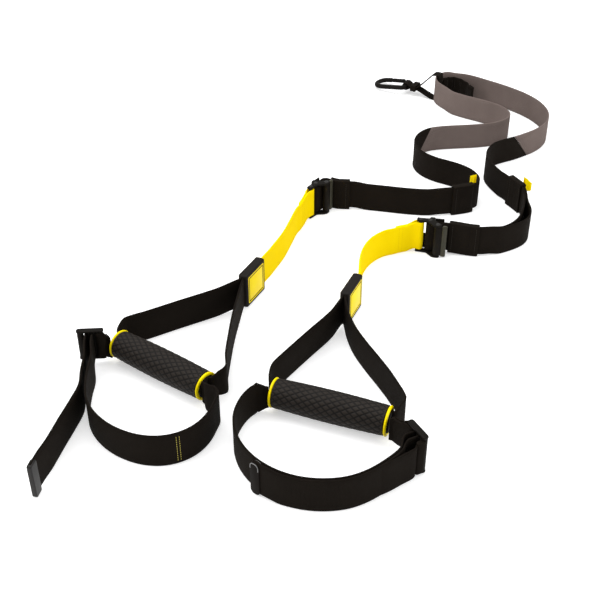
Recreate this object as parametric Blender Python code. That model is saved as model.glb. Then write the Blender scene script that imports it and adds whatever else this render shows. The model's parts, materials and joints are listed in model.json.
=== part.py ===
# Suspension trainer laid out on the floor: webbing on edge, two cam buckles, two handles
# with foot cradles, and a carabiner. Metres, +Z up, +Y away from the camera.

import math

import bmesh
import bpy
from mathutils import Matrix, Vector

# Driving sizes, metres
floor_length = 1.0            # length on the floor that the layout's shares are counted in
gap = 0.0003                  # running gap between pieces that touch

webbing_width = 0.038
webbing_thickness = 0.0022
webbing_step = 0.0055         # length of one facet along a strap
seam_slant = 0.030            # how far the sewn diagonal seam leans along the strap

sleeve_wall = 0.0016
keeper_length = 0.030
buckle_exit_reach = 0.006     # how far the strap runs straight beyond its buckle
left_sleeve_reach = 0.016     # from the buckle's end to its sleeve
right_sleeve_reach = 0.006
left_sleeve_length = 0.026
right_sleeve_length = 0.037
tail_bulge = 0.0085           # how far the right tail bows away from its strap
yellow_fold_length = 0.036    # yellow strap sewn back on itself from the eye bar
tab_width = 0.010
tab_thickness = 0.0012
tab_reach = 0.010

bar_radius = 0.0022
eye_to_strap_bar = 0.0115
strap_bar_to_cam = 0.0105
cam_pin_radius = 0.0016
cam_radius = 0.0042
cam_tooth_depth = 0.0006
cam_tooth_count = 5
lever_length = 0.0115
lever_thickness = 0.0024
side_plate_thickness = 0.0024
side_plate_clearance = 0.0015
side_plate_rim = 0.0034       # metal left round each bar in a side plate
spring_wire = 0.0006
spring_turns = 3

tag_length = 0.044
tag_thickness = 0.0115
tag_wall = 0.0020
tag_corner = 0.0022
tag_pocket_depth = 0.009
tag_plate_margin = 0.0045
tag_plate_depth = 0.0012

grip_length = 0.126
grip_radius = 0.0166          # at the middle of the rubber, which bulges a little
grip_end_radius = 0.0152
grip_ring_width = 0.0050
grip_ring_proud = 0.0003
core_wall = 0.0015
core_bore_radius = 0.0118
core_flange_thickness = 0.0018
core_flange_proud = 0.0009
bore_strap_height = 0.0195    # the webbing is folded to this height inside the grip
mouth_strap_height = 0.030    # and to this height where it leaves the grip
root_strap_height = 0.016     # the cradle's ends are folded smaller, so they can swing

left_slider_reach = 0.0153    # from the grip's end to the slider's middle bar
left_slider_set_back = 0.0250
right_slider_reach = 0.0339
right_slider_set_back = 0.0290
left_cradle_reach = 0.0258    # from the grip's end to where the cradle's webbing first stands up
left_cradle_set_back = 0.0145
right_cradle_reach = 0.0109
right_cradle_set_back = 0.0154
slider_pitch = 0.0105         # from the middle bar to the bar that the short webbing holds
slider_outer_pitch = 0.0078   # and to the bar beyond the tail
slider_bar_radius = 0.0020
slider_plate_thickness = 0.0024
slider_plate_rim = 0.0032
slider_side_clearance = 0.0010

clip_length = 0.015
clip_wall = 0.0015
clip_overlap = 0.011

anchor_width = 0.016
anchor_eye_reach = 0.052      # from the gray strap to the middle of the carabiner's eye
anchor_wrap_length = 0.014
anchor_eye_height = 0.0125
anchor_wrap_wall = 0.0018
bend_allowance = 0.0032       # room for the gray strap's curve inside the loop

carabiner_length = 0.062
carabiner_width = 0.039
carabiner_rod_radius = 0.0038
rod_step = 0.0034              # length of one facet along the carabiner's rod
gate_radius = 0.0034
gate_pin_radius = 0.0013
gate_tongue_thickness = 0.0026
plunger_radius = 0.0011
overrun = 0.002               # how far a cutter passes beyond what it cuts

round_facets = 24
rod_facets = 12
small_facets = 12

# Layout: places as shares of floor_length, chosen by hand along the photographed straps
left_buckle_shares = (0.0140, 0.1930)
right_buckle_shares = (0.1495, 0.1095)
left_tag_shares = (-0.0560, 0.0065)
right_tag_shares = (0.0580, -0.0280)
left_grip_shares = (-0.1444, -0.1442)
right_grip_shares = (0.0300, -0.2110)
left_buckle_heading = math.radians(55)
right_buckle_heading = math.radians(-11)
left_tag_heading = math.radians(64)
right_tag_heading = math.radians(67)
left_grip_heading = math.radians(-35.9)
right_grip_heading = math.radians(-20.9)
left_slider_heading = math.radians(184)
right_slider_heading = math.radians(-62)
anchor_bend_heading = math.radians(62)
carabiner_pitch = math.radians(7.5)

# The long strap from the left buckle round to the right one: black, gray, black.
left_strap_shares = [
    (0.0520, 0.2190), (0.0720, 0.2175), (0.092, 0.2135), (0.115, 0.2085), (0.140, 0.2030),
    (0.165, 0.1995), (0.188, 0.1995), (0.210, 0.2040), (0.2285, 0.2110), (0.2385, 0.2230),
    (0.2395, 0.2390), (0.2330, 0.2560), (0.2210, 0.2700), (0.2060, 0.2810), (0.1890, 0.2920),
    (0.1750, 0.3060), (0.1665, 0.3230), (0.1640, 0.3410), (0.1680, 0.3590), (0.1765, 0.3740)]
gray_strap_shares = [
    (0.1900, 0.3860), (0.2080, 0.3915), (0.2350, 0.3950), (0.2620, 0.3980), (0.2860, 0.4040),
    (0.3050, 0.4160), (0.3155, 0.4320), (0.3150, 0.4480), (0.3070, 0.4640), (0.2930, 0.4780),
    (0.2770, 0.4900), (0.2590, 0.5020), (0.2420, 0.5160), (0.2290, 0.5320), (0.2205, 0.5500),
    (0.2190, 0.5670), (0.2260, 0.5820), (0.2400, 0.5910), (0.2560, 0.5920), (0.2720, 0.5870),
    (0.2880, 0.5760), (0.3030, 0.5630), (0.3200, 0.5480), (0.3370, 0.5310), (0.3540, 0.5100),
    (0.3670, 0.4860), (0.3740, 0.4610), (0.3745, 0.4370), (0.3690, 0.4150), (0.3580, 0.3960),
    (0.3440, 0.3810), (0.3270, 0.3680)]
right_strap_shares = [
    (0.3120, 0.3580), (0.2970, 0.3500), (0.2820, 0.3410), (0.2700, 0.3270), (0.2625, 0.3090),
    (0.2605, 0.2920), (0.2640, 0.2740), (0.2710, 0.2540), (0.2790, 0.2340), (0.2870, 0.2170),
    (0.2930, 0.2020), (0.2930, 0.1850), (0.2890, 0.1660), (0.2830, 0.1460), (0.2750, 0.1280),
    (0.2640, 0.1140), (0.2510, 0.1050), (0.2350, 0.1010), (0.2190, 0.1000)]
left_seam_share = 0.1815      # where the black and gray webbing meet, read along the X axis
right_seam_share = 0.3220
left_seam_search_share = 0.25   # share of the whole route to skip before looking for a seam
right_seam_search_share = 0.62
left_keeper_share = 0.2170    # X of the middle of the left keeper
right_keeper_share = 0.2190   # Y of the middle of the right keeper
right_tail_end_share = -0.3040  # Y of the end of the right cradle's tail
bend_search_share = 0.5       # Y beyond which the gray strap's bend lies
bend_window_share = 0.05
pad_length_share = 0.052
tail_bow_shares = (0.42, 0.42)  # where the tail's bow starts and how long it is, of the tail
barrel_shares = (-1.0, -0.75, -0.5, -0.25, 0.0, 0.25, 0.5, 0.75, 1.0)
tab_place_shares = {"left": 0.28, "right": -0.30}

left_yellow_shares = [(-0.0345, 0.0560), (-0.0210, 0.0900), (-0.0130, 0.1180), (-0.0050, 0.1480),
                      (0.0020, 0.1680)]
right_yellow_shares = [(0.0700, 0.0250), (0.0750, 0.0520), (0.0850, 0.0750), (0.1000, 0.0920),
                       (0.1190, 0.1030), (0.1330, 0.1085)]

left_arm_shares = ([(-0.0980, -0.0340), (-0.1360, -0.0560), (-0.1680, -0.0750)],
                   [(-0.0700, -0.0500), (-0.0735, -0.0850), (-0.0755, -0.1200), (-0.0765, -0.1480)])
right_arm_shares = ([(0.0330, -0.0760), (0.0120, -0.1060), (-0.0080, -0.1350), (-0.0240, -0.1590)],
                    [(0.0530, -0.0770), (0.0590, -0.1030), (0.0690, -0.1290), (0.0820, -0.1580),
                     (0.0920, -0.1820)])

left_cradle_shares = [
    (-0.0830, -0.2250), (-0.0900, -0.2450), (-0.1010, -0.2600),
    (-0.1160, -0.2700), (-0.1330, -0.2740), (-0.1510, -0.2720), (-0.1690, -0.2645),
    (-0.1850, -0.2530), (-0.1990, -0.2370), (-0.2085, -0.2180), (-0.2130, -0.1960),
    (-0.2148, -0.1740), (-0.2150, -0.1520)]
left_tail_shares = [
    (-0.2222, -0.1520), (-0.2208, -0.1760), (-0.2188, -0.1990), (-0.2230, -0.2230),
    (-0.2285, -0.2480), (-0.2340, -0.2750), (-0.2395, -0.3000), (-0.2420, -0.3130)]
right_cradle_shares = [
    (-0.0520, -0.2080), (-0.0580, -0.2200), (-0.0620, -0.2340),
    (-0.0632, -0.2490), (-0.0610, -0.2640), (-0.0555, -0.2800), (-0.0465, -0.2950),
    (-0.0345, -0.3080), (-0.0190, -0.3190), (0.0000, -0.3265), (0.0215, -0.3290),
    (0.0430, -0.3260), (0.0620, -0.3170), (0.0790, -0.3035), (0.0920, -0.2895)]

colours = {
    "black_webbing": ((0.012, 0.010, 0.009, 1), 0.85, 0.0),
    "gray_webbing": ((0.155, 0.120, 0.112, 1), 0.85, 0.0),
    "yellow_webbing": ((1.0, 0.74, 0.0, 1), 0.75, 0.0),
    "dark_metal": ((0.045, 0.045, 0.042, 1), 0.40, 0.9),
    "steel": ((0.55, 0.55, 0.53, 1), 0.30, 1.0),
    "black_rubber": ((0.028, 0.026, 0.025, 1), 0.65, 0.0),
    "black_plastic": ((0.018, 0.018, 0.018, 1), 0.45, 0.0),
    "yellow_plastic": ((1.0, 0.76, 0.0, 1), 0.45, 0.0),
}


# Materials and plain solids

def material(slot):
    found = bpy.data.materials.get(slot)
    if found:
        return found
    colour, roughness, metallic = colours[slot]
    made = bpy.data.materials.new(slot)
    made.use_nodes = True
    shader = made.node_tree.nodes["Principled BSDF"]
    shader.inputs["Base Color"].default_value = colour
    shader.inputs["Roughness"].default_value = roughness
    shader.inputs["Metallic"].default_value = metallic
    made.diffuse_color = colour
    return made


def new_object(name, mesh, slot):
    mesh.materials.append(material(slot))
    made = bpy.data.objects.new(name, mesh)
    bpy.context.scene.collection.objects.link(made)
    mesh.shade_smooth()
    mesh.set_sharp_from_angle(angle=math.radians(35))
    return made


def mesh_of(name, points, faces):
    mesh = bpy.data.meshes.new(name)
    mesh.from_pydata(points, [], faces)
    mesh.update()
    return mesh


def ribbon(name, lows, highs, thickness, slot, closed=False):
    """A strap through matching edge points, with its thickness square to its own surface."""
    count = len(lows)
    points = []
    for index in range(count):
        before = (index - 1) % count if closed else max(index - 1, 0)
        after = (index + 1) % count if closed else min(index + 1, count - 1)
        along = (lows[after] + highs[after]) - (lows[before] + highs[before])
        side = along.cross(highs[index] - lows[index]).normalized() * (thickness / 2)
        points += [lows[index] - side, lows[index] + side, highs[index] + side, highs[index] - side]
    faces = []
    for index in range(count if closed else count - 1):
        near = 4 * index
        far = 4 * ((index + 1) % count)
        for corner in range(4):
            turn = (corner + 1) % 4
            faces.append((near + corner, near + turn, far + turn, far + corner))
    if not closed:
        faces.append((3, 2, 1, 0))
        last = 4 * (count - 1)
        faces.append((last, last + 1, last + 2, last + 3))
    mesh = mesh_of(name, points, faces)
    face_outward(mesh)
    return new_object(name, mesh, slot)


def face_outward(mesh):
    shell = bmesh.new()
    shell.from_mesh(mesh)
    bmesh.ops.recalc_face_normals(shell, faces=shell.faces)
    shell.to_mesh(mesh)
    shell.free()


def tube_through(name, inner_rings, outer_rings, slot):
    """A four-sided sleeve: matching rings of four points, open at both ends."""
    points = []
    for inner, outer in zip(inner_rings, outer_rings):
        points += list(inner) + list(outer)
    faces = []
    count = len(inner_rings)
    for index in range(count - 1):
        near = 8 * index
        far = near + 8
        for corner in range(4):
            turn = (corner + 1) % 4
            faces.append((near + turn, near + corner, far + corner, far + turn))
            faces.append((near + 4 + corner, near + 4 + turn, far + 4 + turn, far + 4 + corner))
    last = 8 * (count - 1)
    for corner in range(4):
        turn = (corner + 1) % 4
        faces.append((corner, turn, 4 + turn, 4 + corner))
        faces.append((last + turn, last + corner, last + 4 + corner, last + 4 + turn))
    mesh = mesh_of(name, points, faces)
    face_outward(mesh)
    return new_object(name, mesh, slot)


def ring_turned(name, profile, facets, slot):
    """A closed profile of (radius, along) points turned about X into a ring with a bore."""
    points = []
    for step in range(facets):
        angle = 2 * math.pi * step / facets
        points += [(along, radius * math.sin(angle), radius * math.cos(angle))
                   for radius, along in profile]
    corners = len(profile)
    faces = []
    for step in range(facets):
        near = corners * step
        far = corners * ((step + 1) % facets)
        for corner in range(corners):
            turn = (corner + 1) % corners
            faces.append((near + corner, near + turn, far + turn, far + corner))
    mesh = mesh_of(name, points, faces)
    face_outward(mesh)
    return new_object(name, mesh, slot)


def rod_through(name, centres, radius, facets, slot):
    """A round rod swept through points that lie in one plane across Z, with flat ends."""
    points = []
    count = len(centres)
    for index, centre in enumerate(centres):
        along = centres[min(index + 1, count - 1)] - centres[max(index - 1, 0)]
        side = along.cross(Vector((0, 0, 1))).normalized()
        for step in range(facets):
            angle = 2 * math.pi * (step + 0.5) / facets
            points.append(centre + side * radius * math.cos(angle)
                          + Vector((0, 0, radius * math.sin(angle))))
    faces = []
    for index in range(count - 1):
        for step in range(facets):
            turn = (step + 1) % facets
            near = facets * index
            far = near + facets
            faces.append((near + step, near + turn, far + turn, far + step))
    faces.append(tuple(range(facets)))
    faces.append(tuple(facets * (count - 1) + step for step in reversed(range(facets))))
    mesh = mesh_of(name, points, faces)
    face_outward(mesh)
    return new_object(name, mesh, slot)


def upright_rod(name, radius, low, high, facets, slot):
    shell = bmesh.new()
    bmesh.ops.create_cone(shell, cap_ends=True, segments=facets, radius1=radius, radius2=radius,
                          depth=high - low)
    bmesh.ops.translate(shell, verts=shell.verts, vec=(0, 0, (low + high) / 2))
    mesh = bpy.data.meshes.new(name)
    shell.to_mesh(mesh)
    shell.free()
    return new_object(name, mesh, slot)


def outline_solid(name, outline, low, high, slot):
    """A flat outline of (x, y) points, counter-clockwise, raised from low to high."""
    shell = bmesh.new()
    face = shell.faces.new([shell.verts.new((x, y, low)) for x, y in outline])
    raised = bmesh.ops.extrude_face_region(shell, geom=[face])
    lifted = [piece for piece in raised["geom"] if isinstance(piece, bmesh.types.BMVert)]
    bmesh.ops.translate(shell, verts=lifted, vec=(0, 0, high - low))
    bmesh.ops.recalc_face_normals(shell, faces=shell.faces)
    mesh = bpy.data.meshes.new(name)
    shell.to_mesh(mesh)
    shell.free()
    return new_object(name, mesh, slot)


def box(name, low, high, slot, bevel=0.0, segments=2):
    shell = bmesh.new()
    bmesh.ops.create_cube(shell, size=1)
    size = [top - bottom for bottom, top in zip(low, high)]
    middle = [(top + bottom) / 2 for bottom, top in zip(low, high)]
    bmesh.ops.scale(shell, verts=shell.verts, vec=size)
    bmesh.ops.translate(shell, verts=shell.verts, vec=middle)
    if bevel:
        bmesh.ops.bevel(shell, geom=shell.edges[:], offset=bevel, segments=segments, profile=0.5,
                        affect="EDGES", clamp_overlap=True)
    mesh = bpy.data.meshes.new(name)
    shell.to_mesh(mesh)
    shell.free()
    return new_object(name, mesh, slot)


def rounded_outline(half_length, half_width, middle, facets=6):
    """A slot-shaped outline along X about a middle X, with half-round ends."""
    points = []
    for centre, start in ((half_length - half_width, -math.pi / 2),
                          (half_width - half_length, math.pi / 2)):
        for step in range(facets + 1):
            angle = start + math.pi * step / facets
            points.append((middle + centre + half_width * math.cos(angle),
                           half_width * math.sin(angle)))
    return points


def combine(target, tool, operation):
    """Joins or cuts target with tool at once, and drops the tool."""
    modifier = target.modifiers.new(operation.lower(), "BOOLEAN")
    modifier.operation = operation
    modifier.solver = "EXACT"
    modifier.object = tool
    bpy.context.view_layer.update()
    evaluated = target.evaluated_get(bpy.context.evaluated_depsgraph_get())
    mesh = bpy.data.meshes.new_from_object(evaluated)
    target.modifiers.clear()
    target.data = mesh
    mesh.shade_smooth()
    mesh.set_sharp_from_angle(angle=math.radians(35))
    bpy.data.objects.remove(tool)
    return target


def move(piece, matrix):
    piece.data.transform(matrix)
    piece.data.update()
    return piece


# Routes in plan

class Spot:
    """A place on the floor with a heading; at() turns its own along and left into x and y."""

    def __init__(self, shares, heading):
        self.x = shares[0] * floor_length
        self.y = shares[1] * floor_length
        self.heading = heading

    def at(self, along, left):
        cosine = math.cos(self.heading)
        sine = math.sin(self.heading)
        return (self.x + along * cosine - left * sine, self.y + along * sine + left * cosine)

    def matrix(self, height=0.0):
        return Matrix.Translation((self.x, self.y, height)) @ Matrix.Rotation(self.heading, 4, "Z")


def spot_at(place, heading):
    return Spot((place[0] / floor_length, place[1] / floor_length), heading)


def on_floor(shares, low=0.0, high=None):
    top = low + webbing_width if high is None else high
    return [(x * floor_length, y * floor_length, low, top) for x, y in shares]


def knot(place, low=0.0, high=None):
    return (place[0], place[1], low, low + webbing_width if high is None else high)


def ease(value):
    value = min(max(value, 0.0), 1.0)
    return value * value * (3 - 2 * value)


def smooth(knots, step=webbing_step):
    """Samples of a curve through the knots, each (x, y, low, high), about one step apart."""
    samples = []
    count = len(knots)
    for index in range(count - 1):
        before = knots[max(index - 1, 0)]
        start = knots[index]
        end = knots[index + 1]
        after = knots[min(index + 2, count - 1)]
        span = math.dist(start[:2], end[:2])
        back = math.dist(before[:2], end[:2]) or span
        ahead = math.dist(start[:2], after[:2]) or span
        pieces = max(1, round(span / step))
        for piece in range(pieces):
            t = piece / pieces
            rise = ease(t)
            sample = [start[axis] + (end[axis] - start[axis]) * rise for axis in range(4)]
            for axis in (0, 1):
                leave = (end[axis] - before[axis]) * span / back
                arrive = (after[axis] - start[axis]) * span / ahead
                sample[axis] += (t ** 3 - 2 * t ** 2 + t) * leave + (t ** 3 - t ** 2) * arrive
            samples.append(tuple(sample))
    samples.append(tuple(knots[-1]))
    return samples


def lengths(samples):
    total = [0.0]
    for first, second in zip(samples, samples[1:]):
        total.append(total[-1] + math.dist(first[:2], second[:2]))
    return total


def sample_at(samples, total, place):
    place = min(max(place, total[0]), total[-1])
    index = 0
    while index < len(total) - 2 and total[index + 1] < place:
        index += 1
    share = (place - total[index]) / (total[index + 1] - total[index])
    return tuple(a + (b - a) * share for a, b in zip(samples[index], samples[index + 1]))


def headings(samples):
    turns = []
    for index in range(len(samples)):
        first = samples[max(index - 1, 0)]
        second = samples[min(index + 1, len(samples) - 1)]
        turns.append(math.atan2(second[1] - first[1], second[0] - first[0]))
    return turns


def beside(samples, distances):
    """The samples moved to the right of their own heading by the given distances."""
    moved = []
    for sample, heading, distance in zip(samples, headings(samples), distances):
        moved.append((sample[0] + distance * math.sin(heading),
                      sample[1] - distance * math.cos(heading), sample[2], sample[3]))
    return moved


def part_of(samples, start, end):
    total = lengths(samples)
    kept = [sample_at(samples, total, start)]
    short = webbing_step / 4
    kept += [s for s, place in zip(samples, total) if start + short < place < end - short]
    kept.append(sample_at(samples, total, end))
    return kept


def place_of(samples, axis, value, after=0.0):
    """Length along the samples where the given axis first passes the value."""
    total = lengths(samples)
    for index in range(len(samples) - 1):
        if total[index] < after:
            continue
        if (samples[index][axis] - value) * (samples[index + 1][axis] - value) <= 0:
            return total[index]
    return total[-1] / 2


def edges_of(samples):
    lows = [Vector((x, y, low)) for x, y, low, high in samples]
    highs = [Vector((x, y, high)) for x, y, low, high in samples]
    return lows, highs


def strap(name, samples, slot, thickness=webbing_thickness):
    lows, highs = edges_of(samples)
    return ribbon(name, lows, highs, thickness, slot)


def arc(centre, radius, start, turn, low, high, pieces=8):
    """Samples round a centre, its two ends left out."""
    samples = []
    for piece in range(1, pieces):
        angle = start + turn * piece / pieces
        samples.append((centre[0] + radius * math.cos(angle), centre[1] + radius * math.sin(angle),
                        low, high))
    return samples


# Shared heights and pitches

layer_pitch = webbing_thickness + gap
buckle_lift = side_plate_thickness + side_plate_clearance
sleeve_lift = sleeve_wall + gap
tag_lift = tag_wall + gap
clip_lift = clip_wall + gap
slider_lift = slider_plate_thickness + slider_side_clearance
anchor_lift = webbing_thickness + 2 * gap
wrap_radius = bar_radius + gap + webbing_thickness / 2
cam_offset = wrap_radius + webbing_thickness / 2 + gap + cam_radius + cam_tooth_depth
buckle_height = webbing_width + 2 * buckle_lift
grip_height = webbing_width / 2

left_buckle = Spot(left_buckle_shares, left_buckle_heading)
right_buckle = Spot(right_buckle_shares, right_buckle_heading)
left_tag = Spot(left_tag_shares, left_tag_heading)
right_tag = Spot(right_tag_shares, right_tag_heading)
left_grip = Spot(left_grip_shares, left_grip_heading)
right_grip = Spot(right_grip_shares, right_grip_heading)
left_slider_place = left_grip.at(-grip_length / 2 - left_slider_reach, -left_slider_set_back)
left_slider = spot_at(left_slider_place, left_slider_heading)
right_slider_place = right_grip.at(grip_length / 2 + right_slider_reach, -right_slider_set_back)
right_slider = spot_at(right_slider_place, right_slider_heading)
cam_place = eye_to_strap_bar + strap_bar_to_cam
buckle_end = cam_place + cam_radius + side_plate_rim


# The long strap

def long_route():
    """Black, gray and black webbing as one curve, from the left strap bar to the right one."""
    exit_place = buckle_end + buckle_exit_reach
    leave = [eye_to_strap_bar, cam_place, buckle_end, exit_place]
    knots = [knot(left_buckle.at(place, wrap_radius), buckle_lift) for place in leave]
    left = on_floor(left_strap_shares)
    for index in (0, 1):
        knots.append(knot(left[index], sleeve_lift))
    for index in (2, 3, 4, 5):
        knots.append(left[index])
    for index in (6, 7, 8):
        knots.append(knot(left[index], sleeve_lift))
    knots += left[9:]
    gray = on_floor(gray_strap_shares)
    for index in range(len(gray)):
        lifted = 13 <= index <= 17
        knots.append(knot(gray[index], anchor_lift if lifted else 0.0))
    right = on_floor(right_strap_shares)
    for index in range(len(right)):
        lifted = index in (8, 9, 10, 17, 18)
        knots.append(knot(right[index], sleeve_lift if lifted else 0.0))
    knots += [knot(right_buckle.at(place, wrap_radius), buckle_lift) for place in reversed(leave)]
    return smooth(knots)


route = long_route()
route_total = lengths(route)[-1]
left_seam = place_of(route, 0, left_seam_share * floor_length,
                     after=route_total * left_seam_search_share)
right_seam = place_of(route, 0, right_seam_share * floor_length,
                      after=route_total * right_seam_search_share)


def slanted(samples, start, end, start_slant, end_slant):
    """Edge points of a stretch whose two ends lean by the given slants."""
    total = lengths(samples)
    pieces = round((end - start) / webbing_step)
    zone = 2 * seam_slant
    lows = []
    highs = []
    for piece in range(pieces + 1):
        place = start + (end - start) * piece / pieces
        near_start = max(0.0, 1 - (place - start) / zone)
        near_end = max(0.0, 1 - (end - place) / zone)
        shift = (start_slant * near_start + end_slant * near_end) / 2
        low = sample_at(samples, total, place + shift)
        high = sample_at(samples, total, place - shift)
        lows.append(Vector((low[0], low[1], low[2])))
        highs.append(Vector((high[0], high[1], high[3])))
    return lows, highs


def build_gray_strap():
    lows, highs = slanted(route, left_seam + gap / 2, right_seam - gap / 2, -seam_slant, -seam_slant)
    return ribbon("center_strap", lows, highs, webbing_thickness, "gray_webbing")


def tail_distances(main, length, bulge):
    """Distance from the strap to its tail at each sample: wide at the bar, then close."""
    total = lengths(main)
    distances = []
    for place in total:
        share = place / length
        near = 1 - ease((place - cam_place + eye_to_strap_bar) / (buckle_end - cam_place))
        along_bow = (share - tail_bow_shares[0]) / tail_bow_shares[1]
        bow = math.sin(math.pi * min(max(along_bow, 0), 1)) ** 2
        distances.append(layer_pitch + (2 * wrap_radius - layer_pitch) * near + bulge * bow)
    return distances


def build_side_strap(side, buckle, sleeve, keeper_place, bulge):
    """Strap from the seam to the buckle, round the strap bar, and back as the tail."""
    if side == "left":
        lows, highs = slanted(route, 0.0, left_seam - gap / 2, 0.0, -seam_slant)
        main = part_of(route, 0.0, left_seam)
    else:
        lows, highs = slanted(route, right_seam + gap / 2, route_total, -seam_slant, 0.0)
        lows.reverse()
        highs.reverse()
        main = list(reversed(part_of(route, right_seam, route_total)))
    keeper = keeper_place(main)
    tail_length = keeper + keeper_length / 2 - gap
    tail_main = part_of(main, 0.0, tail_length)
    distances = tail_distances(tail_main, keeper, bulge)
    tail = beside(tail_main, distances)
    bar = buckle.at(eye_to_strap_bar, 0.0)
    start = buckle.heading + math.pi / 2
    turn = arc(bar, wrap_radius, start, math.pi, buckle_lift, buckle_lift + webbing_width)
    back_lows, back_highs = edges_of(turn)
    tail_edge_lows, tail_edge_highs = edges_of(tail)
    all_lows = list(reversed(lows)) + back_lows + tail_edge_lows
    all_highs = list(reversed(highs)) + back_highs + tail_edge_highs
    ribbon(side + "_strap", all_lows, all_highs, webbing_thickness, "black_webbing")
    sleeve_start = buckle_end + sleeve[0] - eye_to_strap_bar
    build_sleeve(side + "_buckle_sleeve", main, sleeve_start, sleeve_start + sleeve[1], keeper, bulge)
    build_sleeve(side + "_keeper", main, keeper - keeper_length / 2, keeper + keeper_length / 2,
                 keeper, bulge)
    build_tab(side, main, keeper)


def build_sleeve(name, main, start, end, keeper, bulge):
    """A webbing sleeve sewn round the strap and its tail between two places."""
    stretch = part_of(main, start, end)
    total = lengths(main)
    whole = part_of(main, 0.0, keeper + keeper_length / 2)
    distances = tail_distances(whole, keeper, bulge)
    places = lengths(whole)
    inner_rings = []
    outer_rings = []
    place = start
    previous = stretch[0]
    for sample, heading in zip(stretch, headings(stretch)):
        place += math.dist(previous[:2], sample[:2])
        previous = sample
        pitch = distances[min(range(len(places)), key=lambda i: abs(places[i] - place))]
        right = Vector((math.sin(heading), -math.cos(heading), 0))
        middle = Vector((sample[0], sample[1], 0)) + right * pitch / 2
        for rings, extra in ((inner_rings, gap), (outer_rings, gap + sleeve_wall)):
            half = (pitch + webbing_thickness) / 2 + extra
            low = Vector((0, 0, sample[2] - extra))
            high = Vector((0, 0, sample[3] + extra))
            rings.append([middle - right * half + low, middle + right * half + low,
                          middle + right * half + high, middle - right * half + high])
    return tube_through(name, inner_rings, outer_rings, "black_webbing")


def build_tab(side, main, keeper):
    """A folded pull tab that stands out from the keeper's outer face near its top edge."""
    total = lengths(main)
    ahead = tab_place_shares[side]
    sample = sample_at(main, total, keeper + ahead * keeper_length)
    step = sample_at(main, total, keeper + ahead * keeper_length + gap)
    heading = math.atan2(step[1] - sample[1], step[0] - sample[0])
    right = Vector((math.sin(heading), -math.cos(heading), 0))
    if side == "left":
        right = -right
    along = Vector((math.cos(heading), math.sin(heading), 0))
    face = (layer_pitch if side == "right" else 0.0) + webbing_thickness / 2 + 2 * gap + sleeve_wall
    root = Vector((sample[0], sample[1], sample[3] - tab_width)) + right * face
    loop = tab_thickness * 1.5
    outline = [(0, loop * 0.6), (0.35, loop * 0.7), (0.7, loop * 1.3), (0.92, loop * 1.2),
               (1.0, 0.0), (0.92, -loop * 1.2), (0.7, -loop * 1.3), (0.35, -loop * 0.7),
               (0, -loop * 0.6)]
    lows = [root + right * tab_reach * out + along * across for out, across in outline]
    highs = [low + Vector((0, 0, tab_width)) for low in lows]
    return ribbon(side + "_pull_tab", lows, highs, tab_thickness, "yellow_webbing")


# Cam buckles

def build_buckle(side, buckle):
    """Side plates with bars between them, a toothed cam lever on its pin, and its spring."""
    height = buckle_height
    back = bar_radius + side_plate_rim
    reach = cam_offset + cam_pin_radius + side_plate_rim
    floor = wrap_radius + webbing_thickness / 2 + 2 * gap
    behind = floor + side_plate_thickness
    corners = [(-back, bar_radius), (-back, -bar_radius), (-bar_radius, -back),
               (eye_to_strap_bar * 0.7, -back), (cam_place - cam_radius, -reach),
               (cam_place + cam_radius * 0.6, -reach), (buckle_end, -reach * 0.6),
               (buckle_end, behind), (eye_to_strap_bar * 0.8, behind), (-bar_radius, back)]
    low_plate = outline_solid(side + "_buckle_frame", corners, 0.0, side_plate_thickness,
                              "dark_metal")
    top_plate = outline_solid("top_plate", corners, height - side_plate_thickness, height,
                              "dark_metal")
    bed = box("bed", (eye_to_strap_bar, floor, side_plate_thickness / 2),
              (buckle_end - gap, behind - gap, height - side_plate_thickness / 2), "dark_metal")
    frame = combine(low_plate, bed, "UNION")
    frame = combine(frame, top_plate, "UNION")
    hole_places = [(0.0, 0.0, bar_radius), (eye_to_strap_bar, 0.0, bar_radius),
                   (cam_place, -cam_offset, cam_pin_radius)]
    for along, left, radius in hole_places:
        hole = upright_rod("hole", radius + gap / 3, -overrun, height + overrun, small_facets,
                           "steel")
        move(hole, Matrix.Translation((along, left, 0)))
        frame = combine(frame, hole, "DIFFERENCE")
    move(frame, buckle.matrix())
    names = ("eye_bar", "strap_bar", "cam_pin")
    for (along, left, radius), name in zip(hole_places, names):
        pin = upright_rod(side + "_" + name, radius, 0.0, height, small_facets, "steel")
        move(pin, buckle.matrix() @ Matrix.Translation((along, left, 0)))
    build_lever(side, buckle)


def cam_outline():
    """Cam and lever seen along the pin: a toothed drum that runs out into a flat thumb lever."""
    points = []
    facets = 16
    for step in range(facets + 1):
        angle = math.radians(40) + math.radians(250) * step / facets
        toothed = angle < math.radians(150)
        tooth = cam_tooth_depth if toothed and step % 2 else 0.0
        radius = cam_radius + tooth
        points.append((radius * math.cos(angle), radius * math.sin(angle)))
    end = lever_length
    points += [(cam_radius * 0.6, -cam_radius * 0.95), (end, -cam_radius * 0.55),
               (end + lever_thickness * 0.35, -cam_radius * 0.55 + lever_thickness / 2),
               (end, -cam_radius * 0.55 + lever_thickness), (cam_radius * 1.05, cam_radius * 0.25)]
    return points


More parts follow.
